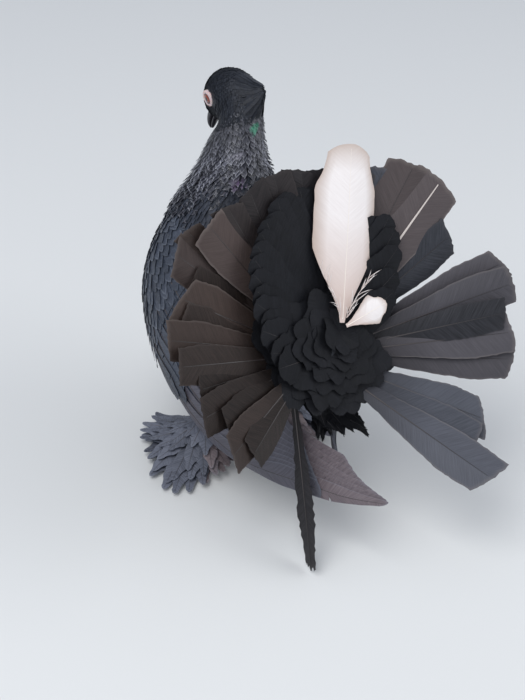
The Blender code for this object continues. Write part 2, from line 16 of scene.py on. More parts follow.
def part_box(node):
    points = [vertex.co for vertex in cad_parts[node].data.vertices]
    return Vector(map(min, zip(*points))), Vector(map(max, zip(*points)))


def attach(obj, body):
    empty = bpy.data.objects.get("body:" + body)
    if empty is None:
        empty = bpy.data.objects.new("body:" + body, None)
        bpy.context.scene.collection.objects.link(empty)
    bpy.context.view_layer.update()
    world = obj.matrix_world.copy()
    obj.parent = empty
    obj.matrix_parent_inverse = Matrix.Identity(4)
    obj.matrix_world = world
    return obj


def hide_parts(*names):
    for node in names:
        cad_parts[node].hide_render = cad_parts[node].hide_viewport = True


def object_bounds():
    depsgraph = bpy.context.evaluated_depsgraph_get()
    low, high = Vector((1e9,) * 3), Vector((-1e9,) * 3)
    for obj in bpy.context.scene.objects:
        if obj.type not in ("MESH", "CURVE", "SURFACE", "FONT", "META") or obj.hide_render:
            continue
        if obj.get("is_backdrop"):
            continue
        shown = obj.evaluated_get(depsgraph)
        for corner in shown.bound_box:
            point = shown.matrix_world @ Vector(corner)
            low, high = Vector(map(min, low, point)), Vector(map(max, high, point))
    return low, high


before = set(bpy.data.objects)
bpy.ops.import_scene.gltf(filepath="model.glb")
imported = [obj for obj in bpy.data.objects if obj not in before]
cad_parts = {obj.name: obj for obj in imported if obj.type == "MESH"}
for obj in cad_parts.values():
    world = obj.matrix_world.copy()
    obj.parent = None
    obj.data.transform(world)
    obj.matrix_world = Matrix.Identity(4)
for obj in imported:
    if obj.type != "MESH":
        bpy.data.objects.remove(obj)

solid_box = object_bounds()
print("solids:", len(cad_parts), "nodes", [round(h - l, 4) for l, h in zip(*solid_box)])

# %% [markdown]
# ## Numbers that every piece uses
# Sizes are thought of in millimetres, in the bird's own frame: it faces -Y, its left is +X, and it
# stands on z = 0. A curve through rows of numbers gives smooth shapes from a few measured ones. All
# of it works on whole arrays at once, because a coat has hundreds of thousands of points.

# %% Curves and steps
MM = 0.001                      # metres in a millimetre
chance = np.random.default_rng(11)      # every random draw comes from here, so each run is alike


def smooth_step(t):
    t = np.clip(t, 0.0, 1.0)
    return t * t * (3 - 2 * t)


def blend(a, b, t):
    return a + (b - a) * t


def unit(vector):
    vector = np.asarray(vector, float)
    return vector / np.linalg.norm(vector, axis=-1, keepdims=True)


def round_angles(count):
    return np.arange(count) * math.tau / count


def along(rows, s):
    """The rows' values at positions s, on a smooth curve through them."""
    rows = np.asarray(rows, float)
    s = np.clip(np.asarray(s, float), 0, len(rows) - 1)
    i = np.minimum(s.astype(int), len(rows) - 2)
    t = (s - i)[..., None]
    a, b, c, d = (rows[np.clip(i + k, 0, len(rows) - 1)] for k in (-1, 0, 1, 2))
    square, cube = 2 * a - 5 * b + 4 * c - d, 3 * b - a - 3 * c + d
    return 0.5 * (2 * b + (c - a) * t + square * t * t + cube * t ** 3)


# %% [markdown]
# ## The shape of the body
# The body is a row of rings from the rump to the bill, with the solids' sizes but for a neck that is
# a little slimmer under its loose feathers. A fantail carries its head far back over its shoulders,
# so the rings of the neck lean and turn on the way up. Each ring is known by its point on the back,
# its point in front and its half width.

# %% Rings from the rump to the bill
# Each row has y and z on the back, y and z in front, and the half width; HEAD in the head's own frame
BODY = (
    (66, 150, 71, 108, 20), (58, 154, 63, 98, 29), (44, 160, 49, 84, 38), (28, 167, 30, 73, 46),
    (12, 176, 8, 67, 51), (-1, 187, -18, 66, 54), (-9, 199, -46, 72, 54.5), (-13, 209, -72, 88, 52),
    (-14, 217, -91, 112, 47.5), (-14, 225, -97, 140, 42), (-13, 233, -93, 168, 36),
    (-12, 241, -82, 193, 28.5), (-10.5, 250, -71, 214, 23.5), (-9, 260, -62, 232, 20.5),
    (-9, 273, -54, 247, 19), (-11.5, 287, -45, 257.5, 17.6),
)
HEAD = (
    (28.5, -3, -9.5, -21, 17.2), (26.5, 3, -10, -19, 17), (20.5, 9.5, -11, -17, 16.6),
    (10.5, 14, -12, -16, 15.6), (0.5, 13.5, -13, -15.2, 13.8), (-7.5, 9.5, -14, -14.5, 10.8),
    (-12.5, 3.5, -14.7, -13.6, 7.6), (-15, -2, -15.3, -12, 5.4),
)
NECK_STARTS = 9.4               # where along the rings the torso's solid ends
TURN_FROM, TURN_OVER = 10, 6    # the ring where the neck starts to turn, and the rings that it takes
NECK_SHIFT = 0.7                # the share of the head's shift to the left that the neck has
TORSO_RINGS, TORSO_SPOKES = 17, 26      # as many as the torso's solid has
HEAD_AT = np.array((7.5, -47, 282))     # the point between the eyes
HEAD_TURN = np.array(Matrix.Rotation(math.radians(12), 3, "Z") @ Matrix.Rotation(math.radians(5), 3, "Y")
                     @ Matrix.Rotation(math.radians(44), 3, "X"))


def on_head(points):
    """Points of the head's own frame, in the bird's frame."""
    return HEAD_AT + np.asarray(points, float) @ HEAD_TURN.T


def ring_table():
    rows = []
    left, side = np.array((1.0, 0, 0)), HEAD_TURN[:, 0]
    for i, (back_y, back_z, front_y, front_z, half) in enumerate(BODY):
        share = smooth_step((i - TURN_FROM) / TURN_OVER)
        x = HEAD_AT[0] * NECK_SHIFT * share
        rows.append((x, back_y, back_z, x, front_y, front_z, *blend(left, side, share), half))
    for back_y, back_z, front_y, front_z, half in HEAD:
        rows.append((*on_head((0, back_y, back_z)), *on_head((0, front_y, front_z)), *side, half))
    return np.array(rows)


RINGS = ring_table()
LAST_RING = len(RINGS) - 1


def body_surface(u, angle, out=0.0):
    """A point of the plumage: u counts rings from the bill to the rump, angle goes round from the
    back over the left side, and out is the distance outside the solid's own surface."""
    u, angle, out = np.broadcast_arrays(np.asarray(u, float), angle, out)
    row = along(RINGS, LAST_RING - u)
    back, front, side, half = row[..., :3], row[..., 3:6], unit(row[..., 6:9]), row[..., 9:]
    top, depth = unit(back - front), np.linalg.norm(back - front, axis=-1, keepdims=True) / 2
    c, s, out = np.cos(angle)[..., None], np.sin(angle)[..., None], out[..., None]
    return (back + front) / 2 + top * (depth + out) * c + side * (half + out) * s


torso_low, torso_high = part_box("torso")
torso_u = np.linspace(LAST_RING, LAST_RING - NECK_STARTS, TORSO_RINGS)
torso_front = body_surface(torso_u[:, None], round_angles(TORSO_SPOKES))[..., 1].min() * MM
PLACE = np.array(((torso_low.x + torso_high.x) / 2, torso_low.y - torso_front, 0.0))
print("the bird's frame sits at", PLACE.round(5), "in the packed one")

# %% [markdown]
# ## From a bmesh to a piece
# Shapes are made in millimetres and settled once into metres, in the place that the solids have, so
# every object stays at the origin. A loft is the plain way to make a smooth closed body: one ring is
# drawn, its edges are extruded ring by ring, and the two ends are closed.

# %% Lofts and finished pieces
SHARP = math.radians(50)        # edges that bend more than this look sharp


def settled(points):
    return np.asarray(points, float) * MM + PLACE


def lofted(rings):
    """A closed skin over rings of points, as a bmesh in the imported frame."""
    bm = bmesh.new()
    spoke = bm.verts.layers.int.new("spoke")
    circle = bmesh.ops.create_circle(bm, segments=len(rings[0]), radius=1.0)["verts"]
    for i, v in enumerate(circle):
        v[spoke] = i
        v.co = rings[0][i]
    edges = bm.edges[:]
    bm.faces.new(circle)
    for ring in rings[1:]:
        grown = bmesh.ops.extrude_edge_only(bm, edges=edges)["geom"]
        new = [v for v in grown if isinstance(v, bmesh.types.BMVert)]
        for v in new:
            v.co = ring[v[spoke]]
        edges = [e for e in grown
                 if isinstance(e, bmesh.types.BMEdge) and all(v in new for v in e.verts)]
    bmesh.ops.holes_fill(bm, edges=edges, sides=0)
    bmesh.ops.recalc_face_normals(bm, faces=bm.faces[:])
    return bm


def made_mesh(name, bm):
    """The mesh of a bmesh, which is freed."""
    mesh = bpy.data.meshes.new(name)
    bm.to_mesh(mesh)
    bm.free()
    return mesh


def linked(name, data):
    """A new object in the scene."""
    thing = bpy.data.objects.new(name, data)
    bpy.context.scene.collection.objects.link(thing)
    return thing


def joined(parts):
    """Several bmeshes in one."""
    whole = bmesh.new()
    for part in parts:
        step = made_mesh("step", part)
        whole.from_mesh(step)
        bpy.data.meshes.remove(step)
    return whole


def turn_outward(mesh):
    """Turns the faces of closed shapes round when they lie inside out, as on a mirrored surface."""
    bm = bmesh.new()
    bm.from_mesh(mesh)
    inside_out = bm.calc_volume(signed=True) < 0
    bm.free()
    if inside_out:
        mesh.flip_normals()


def piece(name, shape, finishes, slot, nodes=()):
    """Makes a mesh, or a bmesh, a piece that rides with the bird and stands for some of its solids."""
    mesh = made_mesh(name, shape) if isinstance(shape, bmesh.types.BMesh) else shape
    mesh.name = name
    turn_outward(mesh)
    for finish in finishes:
        mesh.materials.append(finish)
    mesh.shade_smooth()
    mesh.set_sharp_from_angle(angle=SHARP)
    thing = linked(name, mesh)
    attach(thing, "root")
    if nodes:
        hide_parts(*nodes)
    mesh.calc_loop_triangles()
    print(name, "has", len(mesh.loop_triangles), "triangles")


# %% [markdown]
# ## Colours and nodes
# Colours are picked as hex values, as a paint program shows them, and turned to linear light by one
# function. One more function adds any node with its settings and its links. Skin, horn and scales
# share a finish: one pattern mixes two colours and raises the surface, so both change together.

# %% Colour and node helpers
def hex_colour(text):
    channels = [int(text[i:i + 2], 16) / 255 for i in (1, 3, 5)]
    return (*[c / 12.92 if c <= 0.04045 else ((c + 0.055) / 1.055) ** 2.4 for c in channels], 1.0)


def add_node(looks, kind, inputs=None, **settings):
    """Adds a node. inputs gives a value or another node's output for each socket it names."""
    node = looks.node_tree.nodes.new("ShaderNode" + kind)
    for key, value in settings.items():
        setattr(node, key, value)
    for key, value in (inputs or {}).items():
        if isinstance(value, bpy.types.NodeSocket):
            looks.node_tree.links.new(value, node.inputs[key])
        else:
            node.inputs[key].default_value = value
    return node


def new_finish(name, **values):
    """An empty material with its shader, whose constant values are set on the shader itself."""
    looks = bpy.data.materials.new(name)
    looks.use_nodes = True
    shader = looks.node_tree.nodes["Principled BSDF"]
    for key, value in values.items():
        shader.inputs[key.replace("_", " ").title().replace("Ior", "IOR")].default_value = value
    return looks, shader


def grained_finish(name, grains, colours, rise, detail=0, groove=0, **values):
    """A pattern of so many grains to a millimetre, which mixes two colours and raises the surface by
    rise millimetres, or lowers it where rise is below zero. With detail it is cloudy noise, otherwise
    cells, and groove draws the lines between cells, that wide."""
    looks, shader = new_finish(name, **values)
    inputs = {"Vector": add_node(looks, "TexCoord").outputs["Object"], "Scale": grains / MM}
    if detail:
        pattern = add_node(looks, "TexNoise", {**inputs, "Detail": detail})
    elif groove:
        cells = add_node(looks, "TexVoronoi", inputs, feature="DISTANCE_TO_EDGE")
        pattern = add_node(looks, "MapRange", {0: cells.outputs[0], 1: 0.0, 2: groove})
    else:
        pattern = add_node(looks, "TexVoronoi", inputs)
    colour = add_node(looks, "Mix", {0: pattern.outputs[0], 6: hex_colour(colours[0]),
                                     7: hex_colour(colours[1])}, data_type="RGBA")
    bump = add_node(looks, "Bump", {"Height": pattern.outputs[0], "Distance": abs(rise) * MM},
                    invert=rise < 0)
    looks.node_tree.links.new(colour.outputs[2], shader.inputs["Base Color"])
    looks.node_tree.links.new(bump.outputs[0], shader.inputs["Normal"])
    return looks


# %% [markdown]
# ## How a feather looks
# A feather's vane is made of barbs, fine parallel blades that slant from the shaft to the edge. They
# are keratin with black pigment, so the colour is dark, the surface has a silky gloss, and light
# catches a streak of barbs here and there. Each vane has a map in centimetres, across and along, and
# the barbs are lines of equal value of "along minus a share of across". Real barbs are 0.4 mm apart;
# they are drawn 0.9 mm apart so that the render can show them. Two colours are mixed by a value that
# each feather has as a whole, by streaks along the barbs, partly their own texture and partly painted
# light where they catch it, and by how near the tip a point is.

# %% The finish of a vane
SLANT = 0.8                     # how far a barb climbs for each step away from the shaft
BARB_STEP = 0.09                # distance from barb to barb as drawn, in centimetres
BARB_RISE = 0.12                # height of the barbs and streaks, in millimetres
GLINT_NEAR = 0.45               # what the middle of a glint's own place adds to its chance
GLINT_FULL = 0.85               # the share of its colour in the middle of a glint
GLINT_LOW, GLINT_HIGH = 0.86, 0.98      # between these levels of the noise a glint fades in
STREAK_PACE = 0.7               # streaks to a centimetre on the way along a barb, so they are long
FEATHERS_APART = 40.0           # shifts the streaks, so that no two feathers have the same


def feather_finish(name, dark, light, other=None, root=None, rim=None, rim_share=0.5, rim_start=0.82,
                   tone_share=0.55, streak_share=0.9, lanes=6.0, roughness=0.5, gloss=0.3, glints=()):
    """Vanes from a dark to a light colour. other is a second such pair for feathers with another hue,
    root the colour at a feather's foot and rim that of pale edges: real wear on most plumages, but a
    painted highlight on the neck and painted shade on the white feathers. lanes is the number of
    streaks across a centimetre of barbs. glints are colours of painted sheen, each with its patch size,
    the share of the plumage that it takes, and the place where it is strongest."""
    looks, shader = new_finish(name, roughness=roughness, ior=1.5, specular_ior_level=gloss)
    uv = add_node(looks, "UVMap", uv_map="vane")
    split = add_node(looks, "SeparateXYZ", {0: uv.outputs[0]})
    away = add_node(looks, "Math", {0: split.outputs[0]}, operation="ABSOLUTE")
    climb = add_node(looks, "Math", {0: away.outputs[0], 1: SLANT}, operation="MULTIPLY")
    barb = add_node(looks, "Math", {0: split.outputs[1], 1: climb.outputs[0]}, operation="SUBTRACT")
    lane = add_node(looks, "CombineXYZ", {0: barb.outputs[0], 1: split.outputs[0]})
    stretch = add_node(looks, "Mapping", {0: lane.outputs[0], 3: (lanes, STREAK_PACE, 1.0)})
    tone = add_node(looks, "Attribute", attribute_name="tone")
    feather = add_node(looks, "CombineXYZ", {2: tone.outputs[2]})
    shifted = add_node(looks, "VectorMath", {0: feather.outputs[0], 1: (0, 0, FEATHERS_APART)},
                       operation="MULTIPLY")
    apart = add_node(looks, "VectorMath", {0: stretch.outputs[0], 1: shifted.outputs[0]}, operation="ADD")
    # Streaks along the barbs: partly texture, partly painted highlight
    streaks = add_node(looks, "TexNoise", {"Vector": apart.outputs[0], "Scale": 1.0, "Detail": 4.0,
                                           "Roughness": 0.62})
    streak = add_node(looks, "MapRange", {0: streaks.outputs[0], 1: 0.3, 2: 0.72, 3: 0.0, 4: streak_share})
    share = add_node(looks, "Math", {0: tone.outputs[2], 1: tone_share, 2: streak.outputs[0]},
                     operation="MULTIPLY_ADD", use_clamp=True)
    pairs = [(dark, light), other] if other else [(dark, light)]
    mixes = [add_node(looks, "Mix", {0: share.outputs[0], 6: hex_colour(low), 7: hex_colour(high)},
                      data_type="RGBA").outputs[2] for low, high in pairs]
    covers = []                 # colours that lie over the first one, each with its mask
    if other:
        hue = add_node(looks, "Attribute", attribute_name="hue")
        covers.append((hue.outputs[2], mixes[1]))
    if root:
        height = add_node(looks, "Attribute", attribute_name="tip")
        foot = add_node(looks, "MapRange", {0: height.outputs[2], 1: 0.1, 2: 0.5, 3: 0.75, 4: 0.0})
        covers.append((foot.outputs[0], hex_colour(root)))
    place = add_node(looks, "TexCoord").outputs["Object"]
    # Each glint paints sheen into the colour: noise patches, strongest round their own place
    for shade, size, amount, middle in glints:
        spots = add_node(looks, "TexNoise", {"Vector": place, "Scale": 1.0 / (size * MM), "Detail": 2.0})
        far = add_node(looks, "VectorMath", {0: place, 1: settled(middle)}, operation="DISTANCE")
        near = add_node(looks, "MapRange", {0: far.outputs[1], 1: 0.0, 2: size * MM, 3: GLINT_NEAR, 4: 0.0})
        both = add_node(looks, "Math", {0: spots.outputs[0], 1: near.outputs[0]}, operation="ADD")
        glint = add_node(looks, "MapRange", {0: both.outputs[0], 1: GLINT_LOW - amount,
                                             2: GLINT_HIGH - amount, 3: 0.0, 4: GLINT_FULL})
        covers.append((glint.outputs[0], hex_colour(shade)))
    # The rim colour is wear on most plumages, but a painted highlight on the neck and painted shade on the
    # white feathers
    if rim:
        edge = add_node(looks, "Attribute", attribute_name="rim")
        worn = add_node(looks, "MapRange", {0: edge.outputs[2], 1: rim_start, 2: 1.0, 3: 0.0, 4: rim_share})
        uneven = add_node(looks, "Math", {0: tone.outputs[2], 1: 1.3, 2: 0.1}, operation="MULTIPLY_ADD")
        worn = add_node(looks, "Math", {0: worn.outputs[0], 1: uneven.outputs[0]}, operation="MULTIPLY",
                        use_clamp=True)
        covers.append((worn.outputs[0], hex_colour(rim)))
    colour = mixes[0]
    for mask, cover in covers:
        colour = add_node(looks, "Mix", {0: mask, 6: colour, 7: cover}, data_type="RGBA").outputs[2]
    looks.node_tree.links.new(colour, shader.inputs["Base Color"])
    turns = add_node(looks, "Math", {0: barb.outputs[0], 1: math.tau / BARB_STEP}, operation="MULTIPLY")
    ridge = add_node(looks, "Math", {0: turns.outputs[0]}, operation="SINE")
    rough = add_node(looks, "Math", {0: streaks.outputs[0], 1: 2.0, 2: ridge.outputs[0]},
                     operation="MULTIPLY_ADD")
    bump = add_node(looks, "Bump", {"Height": rough.outputs[0], "Distance": BARB_RISE * MM, "Strength": 0.5})
    looks.node_tree.links.new(bump.outputs[0], shader.inputs["Normal"])
    return looks


# The neck's painted sheen, green and purple patches and pale glints, each a colour, a size, a share of the
# neck and a place
GREEN = ("#2f8c6c", 12, 0.1, (4, -8, 269))
PURPLE = ("#6b5878", 15, 0.14, (14, -15, 222))
PALE = ("#83818d", 12, 0.08, (15, -13, 248))
body_finish = feather_finish("slate black feathers", "#121419", "#3d424e", rim="#596070", rim_share=0.06,
                             streak_share=0.7, roughness=0.48)
# On the neck the pale rims and the glints are painted highlights and painted sheen, as on raised edges that
# catch the light
neck_finish = feather_finish("black neck feathers with a metal sheen", "#090b10", "#6b6c78", rim="#d6d8e0",
                             rim_share=0.7, tone_share=0.85, streak_share=0.6, roughness=0.28, gloss=0.5,
                             glints=(PALE, PURPLE, GREEN))
head_finish = feather_finish("short black head feathers", "#0c0e13", "#272b34", roughness=0.46)
# Down is loose fluff, so it is dull, with a soft sheen where it is seen edge-on
down_finish = grained_finish("black down on the skin", 0.9, ("#121419", "#2c3039"), 0.4, detail=5.0,
                             roughness=0.85, sheen_weight=0.3)
print("finishes:", body_finish.name, neck_finish.name, head_finish.name, down_finish.name)

# %% [markdown]
# ## The skin under the coat
# One closed skin stands for the flesh of torso, neck, head and legs, so no seam shows. It is drawn
# inside the solids by the depth of the coat, which is thin on the head, and it carries the same dark
# colour as the coat, so a gap between feathers never looks bare.

# %% Skin of body and legs
COAT, HEAD_COAT = 2.2, 0.9      # depth of the coat on the body and on the head
THIGH_COAT = 1.5
NEARLY_UP = (0.02, 0.3, 1)      # upright, but never quite in line with a limb
FOOT_AT = {"left": np.array((41.0, -14, 0)), "right": np.array((-35.0, -20, 0))}
HOCK = np.array((-5.0, 18, 41))         # the ankle, from the foot, for the left leg
PAD_HEIGHT = 6.0                # where the shank meets the toes
HIP_IN, HIP_AHEAD, HIP_HEIGHT = 0.62, 34, 88    # share of the ankle's x, before the ankle, over the floor
LEG_TABLE = ((0, 22), (0.3, 19), (0.6, 14), (0.85, 10), (1, 7.5))      # share of the way down, radius


def mirrored(p, name):
    return np.asarray(p, float) * ((1, 1, 1) if name == "left" else (-1, 1, 1))


def foot_points(name):
    """The foot's place on the floor, its ankle, and where the shank meets the toes."""
    foot = FOOT_AT[name]
    return foot, foot + mirrored(HOCK, name), foot + np.array((0, 0, PAD_HEIGHT))


def leg_surface(name):
    """The feathered thigh, as a surface: u from the hip to the ankle, and an angle round it."""
    ankle = foot_points(name)[1]
    hip = np.array((ankle[0] * HIP_IN, ankle[1] - HIP_AHEAD, HIP_HEIGHT))
    axis = unit(ankle - hip)
    side = unit(np.cross(axis, NEARLY_UP))
    top = np.cross(side, axis)

    def surface(u, angle, out=0.0):
        u, angle, out = np.broadcast_arrays(np.asarray(u, float), angle, out)
        radius = np.interp(u, *np.transpose(LEG_TABLE)) + out
        return (hip + (ankle - hip) * u[..., None] + side * (radius * np.cos(angle))[..., None]
                + top * (radius * np.sin(angle))[..., None])
    return surface


def surface_loft(surface, first, last, count, out, spokes=64):
    """A closed loft over a surface, at a depth that may change along it."""
    stations = np.linspace(first, last, count)
    depth = out(stations) if callable(out) else np.full(count, out)
    angles = round_angles(spokes)
    return lofted([settled(surface(np.full(spokes, u), angles, d)) for u, d in zip(stations, depth)])


def body_depth(u):
    return -blend(HEAD_COAT, COAT, smooth_step((u - 6) / 4))


skin = [surface_loft(body_surface, 0.0, LAST_RING, 84, body_depth)]
skin += [surface_loft(leg_surface(name), 0.0, 1.0, 14, -THIGH_COAT, 32) for name in ("left", "right")]
piece("skin", joined(skin), [down_finish], "body_feathers",
      ("torso", "neck", "head", "leg_left", "leg_right"))

# %% [markdown]
# ## Flocks of small feathers
# Small feathers could be particles, but an export loses those, so they are solid mesh. One flat vane
# of a few dozen faces is drawn from a grid and given thickness. An Array modifier copies it as often
# as the coat needs. Then every copy is laid on the body by arithmetic: the vane's length runs down
# the surface towards the tail, its width runs round, its root is sunk and its tip lies on top of the
# next feathers, like roof tiles. Roots stand in columns, every other column half a step lower. Where
# the skin folds in, as at the throat of a head drawn far back, no feather is laid.

# %% Sowing the roots
WAY_POINTS = 260                # points at which the way down a column is measured
ROOT_JITTER = 0.16              # how far a root may stand from its place, in steps


def sow(surface, columns, first, last, gap):
    """Where feathers grow. Each column is its place round the body, a table of distance down it, and
    the distances of its roots, gap(u, v) millimetres apart."""
    u = np.linspace(first, last, WAY_POINTS)
    sown = []
    for number, v in enumerate(columns):
        steps = np.linalg.norm(np.diff(surface(u, np.full_like(u, v)), axis=0), axis=1)
        way = np.concatenate([[0], np.cumsum(steps)])
        count = np.concatenate([[0], np.cumsum(steps / gap(u[:-1], v))])
        wanted = np.arange(0.5 * (number % 2), count[-1], 1.0)
        wanted = wanted + chance.uniform(-ROOT_JITTER, ROOT_JITTER, len(wanted))
        sown.append((v, u, way, np.interp(wanted, count, way)))
    return sown


def stretch_across(surface, u, v):
    """Millimetres across the surface for one unit of v."""
    return np.linalg.norm(surface(u, v + 0.01) - surface(u, v - 0.01), axis=-1) / 0.02


def vane_shape(t, s, length, width, root_width, square, widest):
    """Distance along and across, in mm, of a flat feather's point: t from root to tip, s from edge to
    edge. square says how straight its tip is cut, widest where it reaches its full width."""
    full = blend(root_width, width, smooth_step(t / widest))
    half = full * (1 - (1 - square) * smooth_step((t - 0.7) / 0.3))
    reach = length * t - (1 - square) * width * s * s * smooth_step((t - 0.5) / 0.5)
    return reach, half * s


# %% One vane and its copies
TIP_CROWDING = 1.3              # draws the rows of a vane together towards its tip


def vane_copies(count, columns, rows):
    """A mesh of many flat closed vanes, and the place of one vane's points: across, along, and face."""
    bm = bmesh.new()
    bmesh.ops.create_grid(bm, x_segments=columns, y_segments=rows, size=1.0)
    bmesh.ops.solidify(bm, geom=bm.faces[:], thickness=1.0)
    bmesh.ops.recalc_face_normals(bm, faces=bm.faces[:])
    flat = np.array([v.co for v in bm.verts])
    one = made_mesh("vane", bm)
    thing = linked("vane", one)
    copies = thing.modifiers.new("Copies", "ARRAY")
    copies.use_relative_offset = False
    copies.count = count
    bpy.context.view_layer.update()
    mesh = bpy.data.meshes.new_from_object(thing.evaluated_get(bpy.context.evaluated_depsgraph_get()))
    bpy.data.objects.remove(thing)
    bpy.data.meshes.remove(one)
    return mesh, flat[:, 0], 1 - ((1 - flat[:, 1]) / 2) ** TIP_CROWDING, flat[:, 2] + 0.5


def write_maps(mesh, points, **values):
    """Puts points, attributes and UV maps, each given point by point, on a mesh."""
    mesh.vertices.foreach_set("co", settled(points).astype(np.float32).ravel())
    corner = np.empty(len(mesh.loops), np.int32)
    mesh.loops.foreach_get("vertex_index", corner)
    for key, value in values.items():
        value = np.asarray(value, np.float32)
        if value.ndim == 2:
            mesh.uv_layers.new(name=key).data.foreach_set("uv", value[corner].ravel())
        else:
            mesh.attributes.new(key, "FLOAT", "POINT").data.foreach_set("value", value)
    mesh.update()


def faces_out(surface, u, v):
    """Whether a surface still faces outwards there, and isn't folded in as at the drawn-in throat."""
    step = 0.03
    down = surface(u + step, v) - surface(u - step, v)
    across = surface(u, v + step) - surface(u, v - step)
    turn = (np.cross(down, across) * (surface(u, v, 1.0) - surface(u, v))).sum(-1)
    return turn * np.sign(np.median(turn)) > 0


BAKE_CELL = 0.003               # a small feather's room on its flock's unwrap


def flock(name, surface, patch, sown, spacing, finish, slot, length, lift, wide=0.75, rows=4, thick=0.14,
          sunk=1.6, square=0.45, twist=0.1, clump=0.0, swirl=0.0, patchy=0.0, dim=None, thin=None,
          keep=None):
    """Small feathers on a surface, in one piece. patch(u, v) gives a root's place on the unwrap.
    length(u, v) and lift(u, v) are in millimetres, wide is the half width in columns, sunk how deep a
    root lies. twist is how unevenly the feathers lie, clump how far whole groups lean, swirl how far
    all of them sweep to the rear, patchy how much whole groups share their shade, dim(u, v) what share
    of it they keep, thin(u, v) the share left out, and keep(root, tip) says which of them stay."""
    plans = []
    for v, table, way, roots in sown:
        k = len(roots)
        u0 = np.interp(roots, way, table)
        v0 = v + chance.uniform(-0.13, 0.13, k) * spacing
        reach = length(u0, v0) * chance.uniform(0.9, 1.12, k)
        half = wide * spacing * stretch_across(surface, u0, v0) * chance.uniform(0.92, 1.1, k)
        fits = roots + reach * 0.6 < way[-1]
        for share in (0.0, 0.4, 0.8):
            fits &= faces_out(surface, np.interp(roots + reach * share, way, table), v0)
        if thin:
            fits &= chance.uniform(0, 1, k) > thin(u0, v0)
        if keep:
            fits &= keep(surface(u0, v0), surface(np.interp(roots + reach, way, table), v0))
        raised = lift(u0, v0) * chance.uniform(0, 1, k)
        lean = chance.normal(0, twist, k) + clump * np.sin(2.3 * u0 + 5 * v0) * np.sin(3.1 * v0 - 1.7 * u0)
        lean -= swirl * np.sin(v0)
        cloud = 0.5 + 0.5 * np.sin(2.1 * u0 + 4.2 * v0) * np.sin(3.7 * v0 - 2.6 * u0 + 1)
        shade = blend(chance.uniform(0, 1, k), cloud, patchy) ** (1 + patchy)
        if dim:
            shade = shade * dim(u0, v0)
        plans.append((table, way, *[a[fits] for a in (roots, u0, v0, reach, half, raised, lean, shade)]))
    count = sum(len(plan[2]) for plan in plans)
    mesh, s, t, face = vane_copies(count, 2, rows)
    points, tone, vane_map, bake = [], [], [], []
    for table, way, *values in plans:
        roots, u0, v0, reach, half, raised, lean, shade = (value[:, None] for value in values)
        down, across = vane_shape(t[None], s[None], reach, half, half * 0.45, square, 0.55)
        across = across + lean * down
        u = np.interp(roots + down, way, table)
        v = v0 + across / np.maximum(stretch_across(surface, u, v0), 1.0)
        out = -sunk * (1 - t) + raised * t * t - 0.25 * s * s + face * thick
        points.append(surface(u, v, out).reshape(-1, 3))
        tone.append(np.repeat(shade, len(t)))
        vane_map.append(np.stack([across, down], -1).reshape(-1, 2) / 10)
        cell = BAKE_CELL * np.stack([s / 2, t - 0.5], -1)
        bake.append((np.stack(patch(u0, v0), -1) + cell).reshape(-1, 2))
    write_maps(mesh, np.concatenate(points), tone=np.concatenate(tone), tip=np.tile(t, count),
               rim=np.tile(np.maximum(np.abs(s) * smooth_step(t / 0.5), t), count),
               vane=np.concatenate(vane_map), OFBake=np.concatenate(bake))
    print(count, "feathers")
    piece(name, mesh, [finish], slot)


# %% [markdown]
# ## Feathers of head, neck and body
# On the head the feathers are a few millimetres long and lie flat; down the neck they grow longer and
# this bird holds them a little open, so that light catches their tips; on the breast and back they
# are broad and smooth. The round seats of the eyes and the root of the bill stay free.

# %% Head and neck
EYE_AT = np.array((14.6, 0, 0))         # middle of the left eye's surface, in the head's frame
RING_RADIUS = 6.0
eye_middles = [on_head(EYE_AT * (side, 1, 1)) for side in (1, -1)]


def clear_of_eyes(root, tip):
    far = [np.linalg.norm(p - eye, axis=-1) > RING_RADIUS + room
           for eye in eye_middles for p, room in ((root, 0.2), (tip, -0.1))]
    return np.logical_and.reduce(far)


def body_patch(u, angle):
    return (angle / math.tau) % 1.0, u / LAST_RING


def size_down(*pairs):
    """A size that changes along a surface, from pairs of u and millimetres."""
    places, sizes = np.transpose(pairs)
    return lambda u, v: np.interp(u, places, sizes)


def columns_round(count):
    """The angles of so many columns of feathers, and the angle from one to the next."""
    spacing = math.tau / count
    return (np.arange(count) + 0.5) * spacing, spacing


HEAD_COLUMNS, BODY_COLUMNS, THIGH_COLUMNS = 52, 78, 26
head_angles, spacing = columns_round(HEAD_COLUMNS)
sown = sow(body_surface, head_angles, 0.6, 8.6, size_down((0, 1.3), (3, 1.7), (6, 2.0), (9, 2.3)))
flock("head_feathers", body_surface, body_patch, sown, spacing, head_finish, "body_feathers",
      size_down((0, 2.6), (3, 3.8), (6, 4.8), (9, 6)), size_down((0, 0.15), (9, 0.4)),
      rows=3, thick=0.1, sunk=0.8, keep=clear_of_eyes)
sown = sow(body_surface, head_angles, 7.6, 15.4, size_down((8, 2.6), (11, 3.3), (14, 4.2)))
# On the neck a feather's tone also sets how bright its painted highlights are, and dim keeps them faint next
# to head and body
flock("neck_feathers", body_surface, body_patch, sown, spacing, neck_finish, "body_feathers",
      size_down((8, 6.5), (11, 9.5), (14, 12)), size_down((8, 0.2), (9.5, 1.6), (12, 2.8), (14, 1.4)),
      wide=0.62, sunk=1.4, square=0.25, twist=0.16, clump=0.3, swirl=0.6, patchy=0.55,
      dim=size_down((8, 0), (9.2, 0.2), (10.6, 1), (12.4, 0.95), (14.2, 0.05)),
      thin=size_down((12.9, 0), (15.4, 1)), keep=clear_of_eyes)

